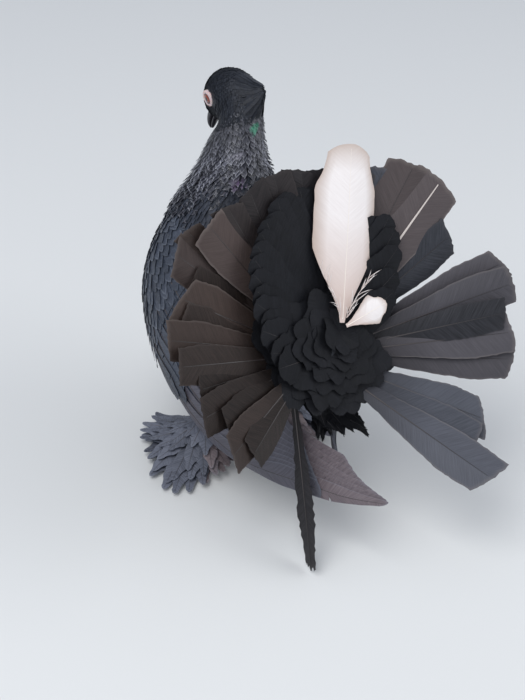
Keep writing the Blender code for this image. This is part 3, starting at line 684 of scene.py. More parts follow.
# %% Breast, belly and back
BACK_TO, BREAST_TO = 0.42, 1.58         # how far round from the back each flock goes, in half turns
body_angles, spacing = columns_round(BODY_COLUMNS)
for name, low, high in (("back_feathers", -BACK_TO, BACK_TO), ("breast_feathers", BACK_TO, BREAST_TO)):
    angles = [a for a in body_angles if low < ((a / math.pi + BACK_TO) % 2 - BACK_TO) < high]
    sown = sow(body_surface, angles, 12.9, LAST_RING, size_down((13, 4.4), (17, 5.4), (23, 5.0)))
    flock(name, body_surface, body_patch, sown, spacing, body_finish, "body_feathers",
          size_down((13, 11.5), (17, 14.5), (23, 13)), size_down((13, 0.7), (15, 0.3), (23, 0.3)))

# %% [markdown]
# ## Feathered thighs
# The thigh is a short tapering leg of feathers between belly and ankle. It gets the same kind of
# flock on its own round surface, and the ankle sinks into the long feathers of the foot.

# %% Thighs
for name in ("left", "right"):
    surface = leg_surface(name)
    angles, spacing = columns_round(THIGH_COLUMNS)
    sown = sow(surface, angles, 0.3, 1.12, size_down((0, 4.4), (1, 3)))
    flock("thigh_feathers_" + name, surface, lambda u, v: ((v / math.tau) % 1.0, u * 0.5), sown, spacing,
          body_finish, "body_feathers", size_down((0, 12), (1, 9)), size_down((0, 0.3), (1, 0.6)))

# %% [markdown]
# ## Eyes and bare lids
# A pigeon's eye is a glossy ball with an orange-red iris round a black pupil. Round it lies a ring of
# bare, finely wrinkled skin, pinkish white on this bird, whose inner lip is the lid. Both are turned
# shapes: half a circle of points is spun round the axis that looks out of the eye.

# %% Eyeballs
EYE_RADIUS = 4.4                # sizes of the eye are in millimetres
EYE_DEPTH = 2.8                 # the eyeball's middle below its ring's face
PUPIL, IRIS = 1.75, 3.9         # their radii
PUPIL_EDGE = 0.15               # how softly one ends in the other
EYE_TURN = math.radians(14)     # how far an eye looks forward of straight sideways
EYE_RISE = 0.06                 # and how far up
DOUBLES = 0.0005                # points nearer than this are one, in millimetres


def eye_frame(side):
    """Axes at an eye in the head's frame, as rows: across, up and out. side is 1 for the left eye."""
    out = unit((side * math.cos(EYE_TURN), -math.sin(EYE_TURN), EYE_RISE))
    across = unit(np.cross((0, 0, 1), out))
    return np.array((across, np.cross(out, across), out))


def on_eye(side, points):
    return on_head(EYE_AT * (side, 1, 1) + np.asarray(points) @ eye_frame(side))


def spun(profile, steps, closed):
    """A profile of radius and height turned about z, as a bmesh still in its own frame."""
    bm = bmesh.new()
    if closed:
        line = bmesh.ops.create_circle(bm, segments=len(profile), radius=1.0)["verts"]
    else:
        line = [bm.verts.new() for _ in profile]
        for a, b in zip(line, line[1:]):
            bm.edges.new((a, b))
    for v, (radius, height) in zip(line, profile):
        v.co = (radius, 0, height)
    bmesh.ops.spin(bm, geom=bm.verts[:] + bm.edges[:], axis=(0, 0, 1), steps=steps, angle=math.tau,
                   use_merge=True)
    bmesh.ops.remove_doubles(bm, verts=bm.verts[:], dist=DOUBLES)
    bmesh.ops.recalc_face_normals(bm, faces=bm.faces[:])
    return bm


# A wet eye mirrors its lights sharply, so a clear coat lies over the iris
eye_finish, eye_shader = new_finish("wet orange-red eye", roughness=0.08, ior=1.4, coat_weight=1.0,
                                    coat_roughness=0.03)
from_middle = add_node(eye_finish, "Attribute", attribute_name="from_axis").outputs[2]
colour = hex_colour("#471310")          # of the iris's outer edge; its inner edge and the pupil lie inside
for reach, inner in ((IRIS - PUPIL, "#8f3d26"), (PUPIL_EDGE, "#050506")):
    share = add_node(eye_finish, "MapRange", {0: from_middle, 1: PUPIL, 2: PUPIL + reach})
    colour = add_node(eye_finish, "Mix", {0: share.outputs[0], 6: hex_colour(inner), 7: colour},
                      data_type="RGBA").outputs[2]
eye_finish.node_tree.links.new(colour, eye_shader.inputs["Base Color"])
for side, name in ((1, "left"), (-1, "right")):
    arc = np.linspace(0, math.pi, 40)
    ball = spun(np.stack([EYE_RADIUS * np.sin(arc), EYE_RADIUS * np.cos(arc) - EYE_DEPTH], -1), 48, False)
    from_axis = ball.verts.layers.float.new("from_axis")
    for v in ball.verts:
        v[from_axis] = math.hypot(v.co.x, v.co.y) if v.co.z > -EYE_DEPTH else EYE_RADIUS
        v.co = settled(on_eye(side, v.co))
    bmesh.ops.recalc_face_normals(ball, faces=ball.faces[:])
    piece("eyeball_" + name, ball, [eye_finish], "eye", ("eye_" + name,))

# %% Bare rings with their lids
RING_PROFILE = ((6.1, -1.9), (6.15, -0.3), (5.9, 0.25), (5.4, 0.42), (4.9, 0.36), (4.4, 0.5), (4.05, 0.42),
                (3.85, 0.05), (4.0, -0.7), (4.65, -1.9))
WRINKLES, WRINKLE_RISE = 17, 0.09       # folds that run outwards round the ring, and their height
BEAD_RISE = 0.05                # height of the finer folds that run round it
FACE_FROM = -0.5                # only points above this height get folds
# Bare skin lets light in a little way and has fine cells with darker borders
lid_finish = grained_finish("pale bare skin", 1.9, ("#e9d3d0", "#c79a98"), -0.1, roughness=0.55,
                            subsurface_weight=0.2)
for side, name in ((1, "left"), (-1, "right")):
    loop = along(RING_PROFILE, np.linspace(0, len(RING_PROFILE) - 1, 30))
    ring = spun(loop, 72, True)
    for v in ring.verts:
        angle, radius = math.atan2(v.co.y, v.co.x), math.hypot(v.co.x, v.co.y)
        fold = math.sin(WRINKLES * angle + 2 * math.sin(3 * angle)) * WRINKLE_RISE
        edge = 0.12 * math.sin(5 * angle + side)
        middle = math.exp(-((radius - 5.2) / 0.6) ** 2)
        if v.co.z > FACE_FROM:
            v.co.z += fold * middle + BEAD_RISE * math.sin(radius * 9)
        v.co.x, v.co.y = v.co.x * (1 + edge / 8), v.co.y * (1 - 0.05 * middle)
        v.co = settled(on_eye(side, v.co))
    bmesh.ops.recalc_face_normals(ring, faces=ring.faces[:])
    piece("lids_" + name, ring, [lid_finish], "bare_skin", ("eye_ring_" + name,))

# %% [markdown]
# ## Bill and cere
# The bill is short and black, its halves meet in the line of the mouth, and its upper half bends down
# at the tip. The nostrils are slits low on its sides. Over its root swells the cere, two powdery
# white bulbs. Bill halves are lofts of oval rings, the bulbs are balls of skin drawn together.

# %% Both halves of the bill
# Each row has y, z, half width and half height in the head's frame
UPPER = ((-14.2, -5.2, 4.9, 3.2), (-16.2, -5.8, 4.7, 3.2), (-19.5, -6.8, 4.3, 3.0),
         (-23.5, -8.4, 3.6, 2.7), (-27.5, -10.6, 2.8, 2.4), (-30.5, -13, 1.9, 2.0),
         (-32.1, -15.1, 0.8, 1.2))
LOWER = ((-14.2, -10.7, 4.4, 1.7), (-16.2, -11.1, 4.3, 1.7), (-19.5, -12, 3.9, 1.55),
         (-23.5, -13.4, 3.2, 1.4), (-27.5, -15.1, 2.3, 1.15), (-30.1, -16.4, 1.0, 0.7))
NOSTRIL = np.array((3.9, -22.3, -5.6))
NOSTRIL_DEPTH = 0.9
NOSTRIL_SHAPE = np.array(((0.25, 0, 0), (0, 0.7, 0.25), (0, -0.7, 1.9)))   # a long slit that climbs
BILL_AHEAD = unit((0, -1, -0.35))


def bill_half(table, sides=32, count=30):
    """A closed half of the bill from the rows of its table."""
    top = np.cross(unit(np.cross(BILL_AHEAD, (0, 0, 1))), BILL_AHEAD)
    angle = round_angles(sides)
    rings = []
    for y, z, w, h in along(table, np.linspace(0, len(table) - 1, count)):
        ring = np.array((0, y, z)) + np.outer(np.cos(angle), (w, 0, 0)) + np.outer(np.sin(angle), top * h)
        for nostril in (NOSTRIL, NOSTRIL * (-1, 1, 1)):
            off = (ring - nostril) @ NOSTRIL_SHAPE
            ring[:, 0] -= np.sign(nostril[0]) * NOSTRIL_DEPTH * np.exp(-(off ** 2).sum(1))
        rings.append(settled(on_head(ring)))
    return lofted(rings)


# Horn is keratin polished by use: black, with a fair gloss and dull clouds where it wears off
horn_finish = grained_finish("black horn", 0.42, ("#0e0e10", "#34323a"), 0.08, detail=4.0, roughness=0.32,
                             ior=1.54)
piece("bill_upper", bill_half(UPPER), [horn_finish], "horn", ("upper_bill",))
piece("bill_lower", bill_half(LOWER), [horn_finish], "horn", ("lower_bill",))
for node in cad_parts.values():
    if node.name.startswith("claw_"):
        for slot in node.material_slots:
            slot.material = horn_finish

# %% The cere's two bulbs
BULB_SIZE = (2.9, 3.3, 1.9)     # half its width, length and height
BULB_AT = (2.4, -18.6, -3.0)    # the left one's middle in the head's frame
BULB_PINCH = 0.25               # how much narrower it is in front
BULB_TILT = np.array(Matrix.Rotation(math.radians(14), 3, "X"))


def shaped_ball(place):
    """A ball whose points lie where place(x, y, z) puts those of a unit ball."""
    bm = bmesh.new()
    bmesh.ops.create_icosphere(bm, subdivisions=4, radius=1.0)
    for v in bm.verts:
        v.co = settled(place(*v.co))
    return bm


def bulb(side):
    def place(x, y, z):
        pinch = 1 - BULB_PINCH * max(0.0, -y) ** 2
        ball = np.array((x * BULB_SIZE[0] * pinch, y * BULB_SIZE[1], z * BULB_SIZE[2]))
        return on_head(np.array(BULB_AT) * (side, 1, 1) + BULB_TILT @ ball)
    return shaped_ball(place)


# A pigeon powders its cere with the dust of its own down, so it is white and quite dull
cere_finish = grained_finish("powdery white cere", 1.5, ("#d8cfca", "#f4f1ee"), 0.15, detail=5.0,
                             roughness=0.8, subsurface_weight=0.15)
piece("cere_bulbs", joined([bulb(1), bulb(-1)]), [cere_finish], "cere", ("cere",))

# %% [markdown]
# ## Large feathers, one by one
# A large feather needs more than a template: its barbs part in slits, its edge frays, and a shaft
# runs down its middle. Each starts as a flat grid. Some edges between two barbs are split and pushed
# apart, solidify gives the vane its thickness, and a thin cone with extra loops becomes the shaft.
# Last, a carrier says where a point so far along, across and outside the flat feather lies in space.

# %% A flat vane with parted barbs
POINT_VALUES = ("number", "across", "tip", "shift", "shaft")
ON_LINE = 0.001                 # a point nearer than this to a slit's row lies on it
SLIT_FADE = 4                   # over so many rows the barbs beside a slit close up again


def value_layers(bm):
    return {key: bm.verts.layers.float.new(key) for key in POINT_VALUES}


def flat_vane(number, columns, rows, slits):
    """A flat grid whose edges are split in a few slits, each a side, a row, the share of the width
    where it starts and its width in millimetres."""
    bm = bmesh.new()
    layers = value_layers(bm)
    grid = bmesh.ops.create_grid(bm, x_segments=columns, y_segments=rows, size=1.0)["verts"]
    for v in grid:
        v[layers["number"]], v[layers["across"]], v[layers["tip"]] = number, v.co.x, (v.co.y + 1) / 2
    for side, row, start, gap in slits:
        level = 2 * row / rows - 1
        line = {e for v in grid if abs(v.co.y - level) < ON_LINE and side * v.co.x > start
                for e in v.link_edges if all(abs(w.co.y - level) < ON_LINE for w in e.verts)}
        bmesh.ops.split_edges(bm, edges=list(line))
    for v in bm.verts:
        height = sum(f.calc_center_median().y for f in v.link_faces) / len(v.link_faces)
        for side, row, start, gap in slits:
            level = 2 * row / rows - 1
            reach = (side * v.co.x - start) / (1 - start)
            if reach > 0 and abs(height - level) > ON_LINE:
                fade = math.exp(-abs(height - level) * rows / 2 / SLIT_FADE)
                v[layers["shift"]] += math.copysign(gap * reach * fade, height - level)
    bmesh.ops.solidify(bm, geom=bm.faces[:], thickness=1.0)
    bmesh.ops.recalc_face_normals(bm, faces=bm.faces[:])
    return bm


def shaft(number, cuts=14):
    """A six-sided shaft: its points hold a unit circle in x and y, and the way along in z."""
    bm = bmesh.new()
    layers = value_layers(bm)
    bmesh.ops.create_cone(bm, cap_ends=True, segments=6, radius1=1.0, radius2=1.0, depth=1.0)
    long = [e for e in bm.edges if abs(e.verts[0].co.z - e.verts[1].co.z) > 0.5]
    bmesh.ops.subdivide_edges(bm, edges=long, cuts=cuts)
    for v in bm.verts:
        v[layers["number"]], v[layers["shaft"]], v[layers["tip"]] = number, 1.0, v.co.z + 0.5
    return bm


def quill(carrier, length, width, root_width=3.0, square=0.6, widest=0.75, tone=0.5, thick=0.35, slits=3,
          shaft=0.7, fray=1.0, hue=0.0, slant=0.0):
    """All that one large feather needs. Sizes are in millimetres, slant is the slope of its tip."""
    return locals()


def drawn_slits(count, columns, rows):
    """Each slit's side, row, the share of the width where it starts, and its width."""
    return [(chance.choice((-1, 1)), int(chance.integers(int(rows * 0.3), int(rows * 0.7))),
             round(chance.uniform(0.1, 0.5) * columns / 2) * 2 / columns, chance.uniform(0.2, 0.8))
            for _ in range(count)]


# %% A piece of large feathers
CROWDING = 1.25                 # draws the rows together towards the tip
TIP_FRAY, EDGE_FRAY = 1.6, 0.8  # how deep worn tips and edges are, in millimetres
SHAFT_FROM, SHAFT_SHARE = 0.02, 0.95    # where a shaft starts, and the share of the feather it runs
SHAFT_TAPER = 0.75              # how much thinner it is at the tip
CELL_SHARE = 0.45               # half of a feather's own cell on the unwrap, less a margin


def quill_piece(name, quills, finishes, slot, nodes=(), columns=10, rows=26):
    """Builds large feathers in one piece. The second finish is the shafts'."""
    parts = []
    for number, feather in enumerate(quills):
        parts.append(flat_vane(number, columns, rows, drawn_slits(feather["slits"], columns, rows)))
        if feather["shaft"]:
            parts.append(shaft(number))
    mesh = made_mesh(name, joined(parts))
    read = {}
    for key in POINT_VALUES:
        read[key] = np.empty(len(mesh.vertices), np.float32)
        mesh.attributes[key].data.foreach_get("value", read[key])
        mesh.attributes.remove(mesh.attributes[key])
    flat = np.empty(len(mesh.vertices) * 3, np.float32)
    mesh.vertices.foreach_get("co", flat)
    flat = flat.reshape(-1, 3).astype(float)
    points, vane_map = np.empty((len(flat), 3)), np.empty((len(flat), 2))
    tone, hue, bake = np.empty(len(flat)), np.empty(len(flat)), np.empty((len(flat), 2))
    number = (read["number"] + 0.5).astype(int)
    wide = math.ceil(math.sqrt(len(quills) * 3))
    high = math.ceil(len(quills) / wide)
    for i, feather in enumerate(quills):
        mine = number == i
        t, s, is_shaft = read["tip"][mine], read["across"][mine], read["shaft"][mine] > 0.5
        t = 1 - (1 - t) ** CROWDING
        shape = [feather[key] for key in ("length", "width", "root_width", "square", "widest")]
        reach, x = vane_shape(t, s, *shape)
        middle_part = smooth_step(t / 0.25) * (1 - smooth_step((t - 0.55) / 0.45))
        climb = min(SLANT * 0.5, feather["length"] / feather["width"] * 0.06)
        reach += climb * np.abs(x) * middle_part + read["shift"][mine]
        column = np.rint((s + 1) / 2 * columns).astype(int)
        row = np.rint(read["tip"][mine] * rows).astype(int)
        tip_fray = chance.uniform(-1, 0.4, columns + 1) * TIP_FRAY * feather["fray"]
        edge_fray = chance.uniform(-1, 0.5, (2, rows + 1)) * EDGE_FRAY * feather["fray"]
        reach += tip_fray[column] * smooth_step((t - 0.85) / 0.15)
        reach += feather["slant"] * x * smooth_step((t - 0.6) / 0.4)
        x += np.sign(s) * edge_fray[(s > 0).astype(int), row] * (np.abs(s) > 0.99)
        out = (flat[mine, 2] + 0.5) * feather["thick"] * (1 - 0.5 * np.abs(s))
        radius = feather["shaft"] * (1 - SHAFT_TAPER * t)
        reach = np.where(is_shaft, feather["length"] * (SHAFT_FROM + SHAFT_SHARE * t), reach)
        x = np.where(is_shaft, flat[mine, 0] * radius, x)
        out = np.where(is_shaft, feather["thick"] / 2 - flat[mine, 1] * radius * 0.8, out)
        points[mine] = feather["carrier"](reach, x, out)
        vane_map[mine] = np.stack([x, reach], -1) / 10
        tone[mine], hue[mine] = feather["tone"], feather["hue"]
        cell = np.array((i % wide, i // wide)) + 0.5
        bake[mine] = (cell + CELL_SHARE * np.stack([s, 2 * t - 1], -1)) / (wide, high)
    rim = np.maximum(np.abs(read["across"]) * smooth_step(read["tip"] / 0.3), read["tip"] ** 2)
    write_maps(mesh, points, tone=tone, hue=hue, tip=read["tip"], rim=rim, vane=vane_map, OFBake=bake)
    first = np.array([p.vertices[0] for p in mesh.polygons])
    mesh.polygons.foreach_set("material_index", (read["shaft"][first] > 0.5).astype(np.int32))
    print(len(quills), "large feathers")
    piece(name, mesh, finishes, slot, nodes)


def straight(root, direction, face, length, lift=0.0, camber=0.0, turn=0.0, sway=0.0, wave=0.0):
    """A carrier that runs straight from root, its flat side towards face. lift bends the tip towards
    face, camber curls the edges away from it, turn twists the tip, sway bends it in its own plane."""
    direction = unit(direction)
    side = unit(np.cross(direction, face))
    normal = np.cross(side, direction)
    phase = chance.uniform(0, math.tau)

    def carrier(reach, x, out):
        t = np.clip(reach / length, 0, 1.2)[..., None]
        angle = turn * smooth_step((t - 0.5) / 0.5)
        across = side * np.cos(angle) + normal * np.sin(angle)
        up = normal * np.cos(angle) - side * np.sin(angle)
        x, out = x[..., None], out[..., None]
        ripple = wave * np.sin(t * 7 + phase + np.sign(x)) * (x / 15) ** 2
        return (root + direction * reach[..., None] + across * x + normal * lift * t * t
                + up * (out + ripple - camber * x * x) + side * sway * t * t)
    return carrier


# Dark keratin, paler towards the root. A feather whose tone is near 1 gets a pale painted highlight along
# its shaft
PALE_FROM, PALE_TO = 0.93, 0.98
shaft_finish, shaft_shader = new_finish("dark feather shaft", roughness=0.3, ior=1.55)
shaft_place = add_node(shaft_finish, "Attribute", attribute_name="tip")
shaft_mix = add_node(shaft_finish, "Mix", {0: shaft_place.outputs[2], 6: hex_colour("#4a4342"),
                                           7: hex_colour("#1d1a19")}, data_type="RGBA")
shaft_tone = add_node(shaft_finish, "Attribute", attribute_name="tone")
shaft_pale = add_node(shaft_finish, "MapRange", {0: shaft_tone.outputs[2], 1: PALE_FROM, 2: PALE_TO})
shaft_colour = add_node(shaft_finish, "Mix", {0: shaft_pale.outputs[0], 6: shaft_mix.outputs[2],
                                              7: hex_colour("#c9bfb8")}, data_type="RGBA")
shaft_finish.node_tree.links.new(shaft_colour.outputs[2], shaft_shader.inputs["Base Color"])
print("large feathers can be built, with", shaft_finish.name)

# %% [markdown]
# ## The crest
# Behind the head this bird has a small peak, where the feathers of the nape stand up and meet in a
# point. Its feathers start on the back of the head, from crown to nape, and all lean to one tip.

# %% Crest
CREST_TIP = np.array((-1.0, -6, 299.5))
CREST_SPREAD = 0.4              # how loosely the feathers meet there
crest = []
for u in np.linspace(5.0, 8.8, 8):
    for angle in np.linspace(-0.95, 0.95, 9) + chance.uniform(-0.08, 0.08, 9):
        root, outside = body_surface(u, angle, -0.6), body_surface(u, angle, 1.0)
        way = CREST_TIP + chance.normal(0, CREST_SPREAD, 3) + (root - CREST_TIP) * 0.1 - root
        length = np.linalg.norm(way)
        carrier = straight(root, way, outside - root, length, lift=chance.uniform(-1.2, 0.2))
        crest.append(quill(carrier, length, 2.3, root_width=2.0, square=0.35, widest=0.4,
                           tone=chance.uniform(0.1, 0.7), thick=0.14, slits=1, shaft=0.0, fray=0.3))
quill_piece("crest", crest, [head_finish], "body_feathers", columns=4, rows=8)

# %% [markdown]
# ## Folded wings
# The folded wing shows, from the shoulder back, small coverts like scales, then larger ones, then the
# inner and the outer flight feathers, which lie over each other like closed fan sticks. All of them
# are laid on one curved sheet. It follows the solids over the arm, and its hand is longer, so that
# the tips meet under the tail. The grey feathers have thin, pale, worn edges.

# %% The wing's sheet
# Rows from the shoulder back, each an upper, a middle and a lower point, outwards being +x
WING_ARM = (
    (36, -66, 186, 34, -88, 152, 35, -84, 124), (42, -42, 190, 60, -58, 146, 57, -62, 100),
    (37, -6, 182, 68, -18, 132, 69, -26, 80), (36, 28, 160, 67, 22, 110, 71, 12, 64),
)
WING_HAND = {
    "left": ((36, 56, 130, 60, 54, 88, 66, 44, 52), (36, 88, 90, 48, 88, 66, 53, 79, 46),
             (26, 105, 77, 30, 112, 62, 33, 119, 48), (12, 142, 75, 16, 146, 62, 18, 149, 51),
             (-1, 178, 69, 0, 180, 66, 3, 178, 60)),
    "right": ((30, 66, 128, 47, 65, 88, 53, 52, 55), (6, 104, 78, 10, 106, 67, 16, 100, 53),
              (-6, 148, 60, -5, 149, 55, -2, 145, 49)),
}
# Flight feathers and their coverts are firm and smooth, with fine streaks and a silky gloss
wing_finish = feather_finish("slate wing feathers", "#242932", "#515867", other=("#4f474c", "#918589"),
                             rim="#98a0ae", rim_share=0.2, rim_start=0.9, tone_share=0.3, streak_share=0.5,
                             lanes=10.0, roughness=0.42)


def wing_surface(name):
    """The folded wing's sheet: u from the shoulder to the tip, v from its upper to its lower edge."""
    rows = WING_ARM + WING_HAND[name]

    def surface(u, v, out=0.0):
        u, v, out = np.broadcast_arrays(np.asarray(u, float), v, out)
        row, v1 = along(rows, u), v[..., None]
        p = (row[..., :3] * v1 * (v1 - 1) / 2 + row[..., 3:6] * (1 - v1 * v1)
             + row[..., 6:9] * v1 * (v1 + 1) / 2)
        return mirrored(p + np.stack([out, 0 * out, -0.35 * out * v], -1), name)
    return surface


def on_wing(name, start, end, v_start, v_end, low, high, tilt, width):
    """A carrier along the wing's sheet from one station to a later one, and the feather's length.
    low and high are its depth at root and tip, and tilt lifts one of its edges over its neighbour."""
    surface = wing_surface(name)
    line = surface(np.linspace(start, end, 40), np.linspace(v_start, v_end, 40))
    length = np.linalg.norm(np.diff(line, axis=0), axis=1).sum()

    def carrier(reach, x, out):
        t = reach / length
        u, v = blend(start, end, t), blend(v_start, v_end, t)
        away = x / stretch_across(surface, u, v)
        return surface(u, v + away, blend(low, high, t) + tilt * x / width + out)
    return carrier, length


# %% Flight feathers and coverts
OUTER, INNER, LARGE_COVERTS, COVERT_COLUMNS = 10, 9, 11, 17
OUTER_WIDTH, INNER_WIDTH, COVERT_WIDTH = 9.5, 10.5, 9   # half widths in millimetres
OUTER_HUE = {"left": 1.0, "right": 0.2}                 # the left hand is brownish
CORE_RING = round_angles(40)
for name in ("left", "right"):
    surface = wing_surface(name)
    feathers = []
    tip = len(WING_ARM) + len(WING_HAND[name]) - 1
    for i in range(OUTER):      # the lowest is the longest
        share = i / (OUTER - 1)
        v = blend(-0.9, 0.84, share)
        end = tip - blend(1.0, 0, share)
        carrier, length = on_wing(name, 2.6, end, v, v * 1.2, -4.2, -3.4, -1.1, OUTER_WIDTH)
        feathers.append(quill(carrier, length, OUTER_WIDTH, root_width=6, square=0.5, widest=0.6,
                              tone=chance.uniform(0.2, 0.9), slits=2, shaft=0.6, fray=0.4,
                              hue=OUTER_HUE[name]))
    # The inner flight feathers are drawn lighter, tone 0.7 to 1 and some lilac: partly paler worn feathers,
    # partly painted light where the tail's shadow falls on them
    for i in range(INNER):
        share = i / (INNER - 1)
        v = blend(-0.9, 0.8, share)
        end = tip - blend(1.9, 1.5, share)
        carrier, length = on_wing(name, 2.4, end, v, v * 1.05, -2.2, -0.8, -1.1, INNER_WIDTH)
        feathers.append(quill(carrier, length, INNER_WIDTH, root_width=6, square=0.72, widest=0.6,
                              tone=chance.uniform(0.7, 1), slits=0, shaft=0.6, fray=0.3, hue=0.3))
    for i in range(LARGE_COVERTS):
        v = blend(-0.8, 0.8, i / (LARGE_COVERTS - 1))
        end = 3.15 + 0.12 * math.sin(i * 2.3)
        carrier, length = on_wing(name, 1.8, end, v, v * 0.97, -1.4, 0.2, -0.9, COVERT_WIDTH)
        feathers.append(quill(carrier, length, COVERT_WIDTH, root_width=6, square=0.6, widest=0.6,
                              tone=chance.uniform(0.2, 0.9), thick=0.3, slits=2, shaft=0.5, fray=0.5))
    quill_piece("wing_quills_" + name, feathers, [wing_finish, shaft_finish], "wing_feathers",
                ("wing_" + name,))
    columns = np.linspace(-0.95, 0.95, COVERT_COLUMNS)
    sown = sow(surface, columns, -0.02, 2.15, size_down((0, 5), (1, 7), (2, 9)))
    flock("wing_coverts_" + name, surface, lambda u, v: (0.5 + v * 0.4, u / 7), sown,
          columns[1] - columns[0], wing_finish, "wing_feathers", size_down((0, 12), (1, 17), (2, 23)),
          size_down((0, 0.15), (2, 0.3)), wide=0.72, rows=5, sunk=2.0, square=0.5)
    core = [settled(surface(np.full(40, u), np.sin(CORE_RING) * 0.9, -3.2 + 1.4 * np.cos(CORE_RING)))
            for u in np.linspace(0.3, 3.3, 24)]
    piece("wing_core_" + name, lofted(core), [wing_finish], "wing_feathers")

# %% [markdown]
# ## The spread tail
# A fantail has about thirty tail feathers where other pigeons have twelve. They stand in a fan round
# one hub, tilted over the back, each rolled a little over its neighbour. Seen from behind, coverts in
# tiers hide their roots: a few long ones, then shorter ones, and a rosette over the vent.

# %% Where a tail feather points
HUB = np.array((0.0, 82, 130))          # where the shafts meet
TAIL_LEAN = math.radians(35)            # how far the fan leans forward from upright
LEFT = np.array((1.0, 0, 0))
TAIL_UP = np.array((0, -math.sin(TAIL_LEAN), math.cos(TAIL_LEAN)))
TAIL_BACK = np.array((0, math.cos(TAIL_LEAN), math.sin(TAIL_LEAN)))
# Angle from the left over the top, tilt to the rear, length, half width, slant of the tip, how far
# behind its neighbours, tone, which paints lit and shaded bands across the fan, and hue from brown
# to slate, where the brown is bleaching and the slate partly painted sheen
RECTRICES = (
    (-25, 23, 116, 14, 0, -2, 0, 0), (-19, 22, 131, 15, -0.2, 0, 0.25, 0),
    (-12, 21, 119, 15, 0, -2, 0, 0), (-5, 19, 133, 15, -0.1, 0, 0.05, 0), (3, 18, 125, 15, 0, -2, 0, 0),
    (11, 18, 142, 14, 0, 0, 0.15, 0), (19, 16, 146, 15, 0.3, 0, 0.45, 0),
    (25, 15, 131, 15, 0, -2, 0.2, 0), (31, 14, 135, 18, -0.4, 0, 0.55, 0),
    (38, 12, 126, 15, 0, -2, 0.05, 0), (43, 11, 145, 16, 0.35, 0, 0.5, 0.1),
    (50, 12, 147, 12, -0.4, -1, 0.3, 0), (55, 14, 139, 17, 0.1, 1, 0.85, 0.1),
    (63, 15, 138, 15, -0.4, -1, 0.1, 0.2), (72, 15, 137, 16, 0.3, 0, 0, 0.3),
    (82, 15, 138, 16, 0, 0, 0.05, 0.3), (92, 14, 134, 16, -0.3, 0, 0, 0.4),
    (103, 13, 133, 18, 0, 0, 0, 0.5), (113, 14, 136, 18, 0, 0, 0.2, 0.6),
    (122, 14, 142, 16, 0.2, 0, 0.4, 1), (130, 16, 153, 21, 0.1, 1, 0.75, 0.25),
    (139, 17, 154, 22, -0.1, 2, 0.98, 0.3), (147, 18, 128, 16, 0, -3, 0, 1),
    (153, 18, 133, 16, -0.25, -3, 0.1, 1), (169, 20, 154, 14, 0.4, 0, 0.85, 0.6),
    (175, 24, 153, 16, 0, 0, 0.6, 0.65), (183, 27, 142, 13, -0.2, -3, 0, 0.8),
    (190, 24, 145, 17, 0.2, 0, 0.85, 0.6), (198, 20, 147, 16, -0.2, 0, 0.6, 0.6),
    (220, 22, 131, 16, 0.5, 0, 0.65, 1), (229, 24, 132, 15, 0, -2, 0.5, 1),
    (238, 25, 153, 18, -0.4, 0, 0.75, 0.95),
)
# Old tail feathers bleach from black to brown, most towards their worn rims; coverts stay blue-black
# root paints shade on each tail feather's foot, where the coverts lie over it, and the slate pair is partly
# painted sheen
tail_finish = feather_finish("brown-black tail feathers", "#0f0b0a", "#5a4b45", other=("#14161b", "#666973"),
                             root="#130f0e", rim="#8b827d", rim_share=0.25, rim_start=0.9, tone_share=0.6,
                             streak_share=0.28, lanes=14.0, gloss=0.22)
covert_finish = feather_finish("blue-black tail coverts", "#08090b", "#202126", roughness=0.6,
                               streak_share=0.6, lanes=10.0, gloss=0.15)


def tail_direction(angle, funnel):
    a, k = math.radians(angle), math.radians(funnel)
    return (LEFT * math.cos(a) + TAIL_UP * math.sin(a)) * math.cos(k) + TAIL_BACK * math.sin(k)


def tail_face(angle, roll):
    """The side that a tail feather turns to the rear, rolled so that neighbours lie like tiles."""
    a = math.radians(angle)
    round_fan = -LEFT * math.sin(a) + TAIL_UP * math.cos(a)
    return TAIL_BACK - round_fan * math.tan(math.radians(roll))


def tail_quill(angle, funnel, length, width, start, back, roll, lift=0.0, camber=0.0, wave=0.0, sway=0.0,
               hub=HUB, **shape):
    """A tail feather whose root is start from the hub along it and back behind the fan's plane."""
    direction = tail_direction(angle, funnel)
    root = hub + TAIL_BACK * back + direction * start
    carrier = straight(root, direction, tail_face(angle, roll), length - start, lift=lift, camber=camber,
                       sway=sway, wave=wave)
    return quill(carrier, length - start, width, **shape)


# %% Tail feathers
ROLL = 7                        # each lies over its neighbour, so many degrees out of the fan's plane
ROLL_TURNS = 145                # from this angle on they roll the other way
STEM_TIP = np.array((43.0, 158, 3))     # one feather hangs down to the floor
STEM_AT = HUB + LEFT * 27 - TAIL_UP * 22        # where it leaves the coverts
STEM_HIDDEN = 16                # how much of it lies among them
STEM_FACE = np.array((0.89, 0.07, 0.42))
fan = []
for i, (angle, funnel, length, half, slant, back, tone, hue) in enumerate(RECTRICES):
    roll = (ROLL if angle < ROLL_TURNS else -ROLL) + 2 * math.sin(i * 2.3)
    fan.append(tail_quill(angle, funnel, length, half, 12, back, roll, lift=3, camber=0.006, wave=1.0,
                          sway=chance.uniform(-1, 1), root_width=4, square=0.9, widest=0.85, tone=tone,
                          thick=0.4, slits=0, shaft=1.7 if tone > PALE_FROM else 0.6, fray=0.6, hue=hue,
                          slant=slant))
stem_root = STEM_AT - unit(STEM_TIP - STEM_AT) * STEM_HIDDEN
stem_length = np.linalg.norm(STEM_TIP - stem_root)
carrier = straight(stem_root, STEM_TIP - stem_root, STEM_FACE, stem_length, lift=2, turn=math.radians(-20))
fan.append(quill(carrier, stem_length, 10, root_width=2.5, square=0.75, widest=0.9, tone=0.0, thick=0.4,
                 slits=0, fray=2.0, hue=0.5))
quill_piece("tail_quills", fan, [tail_finish, shaft_finish], "tail_feathers", ("tail",), columns=14, rows=34)

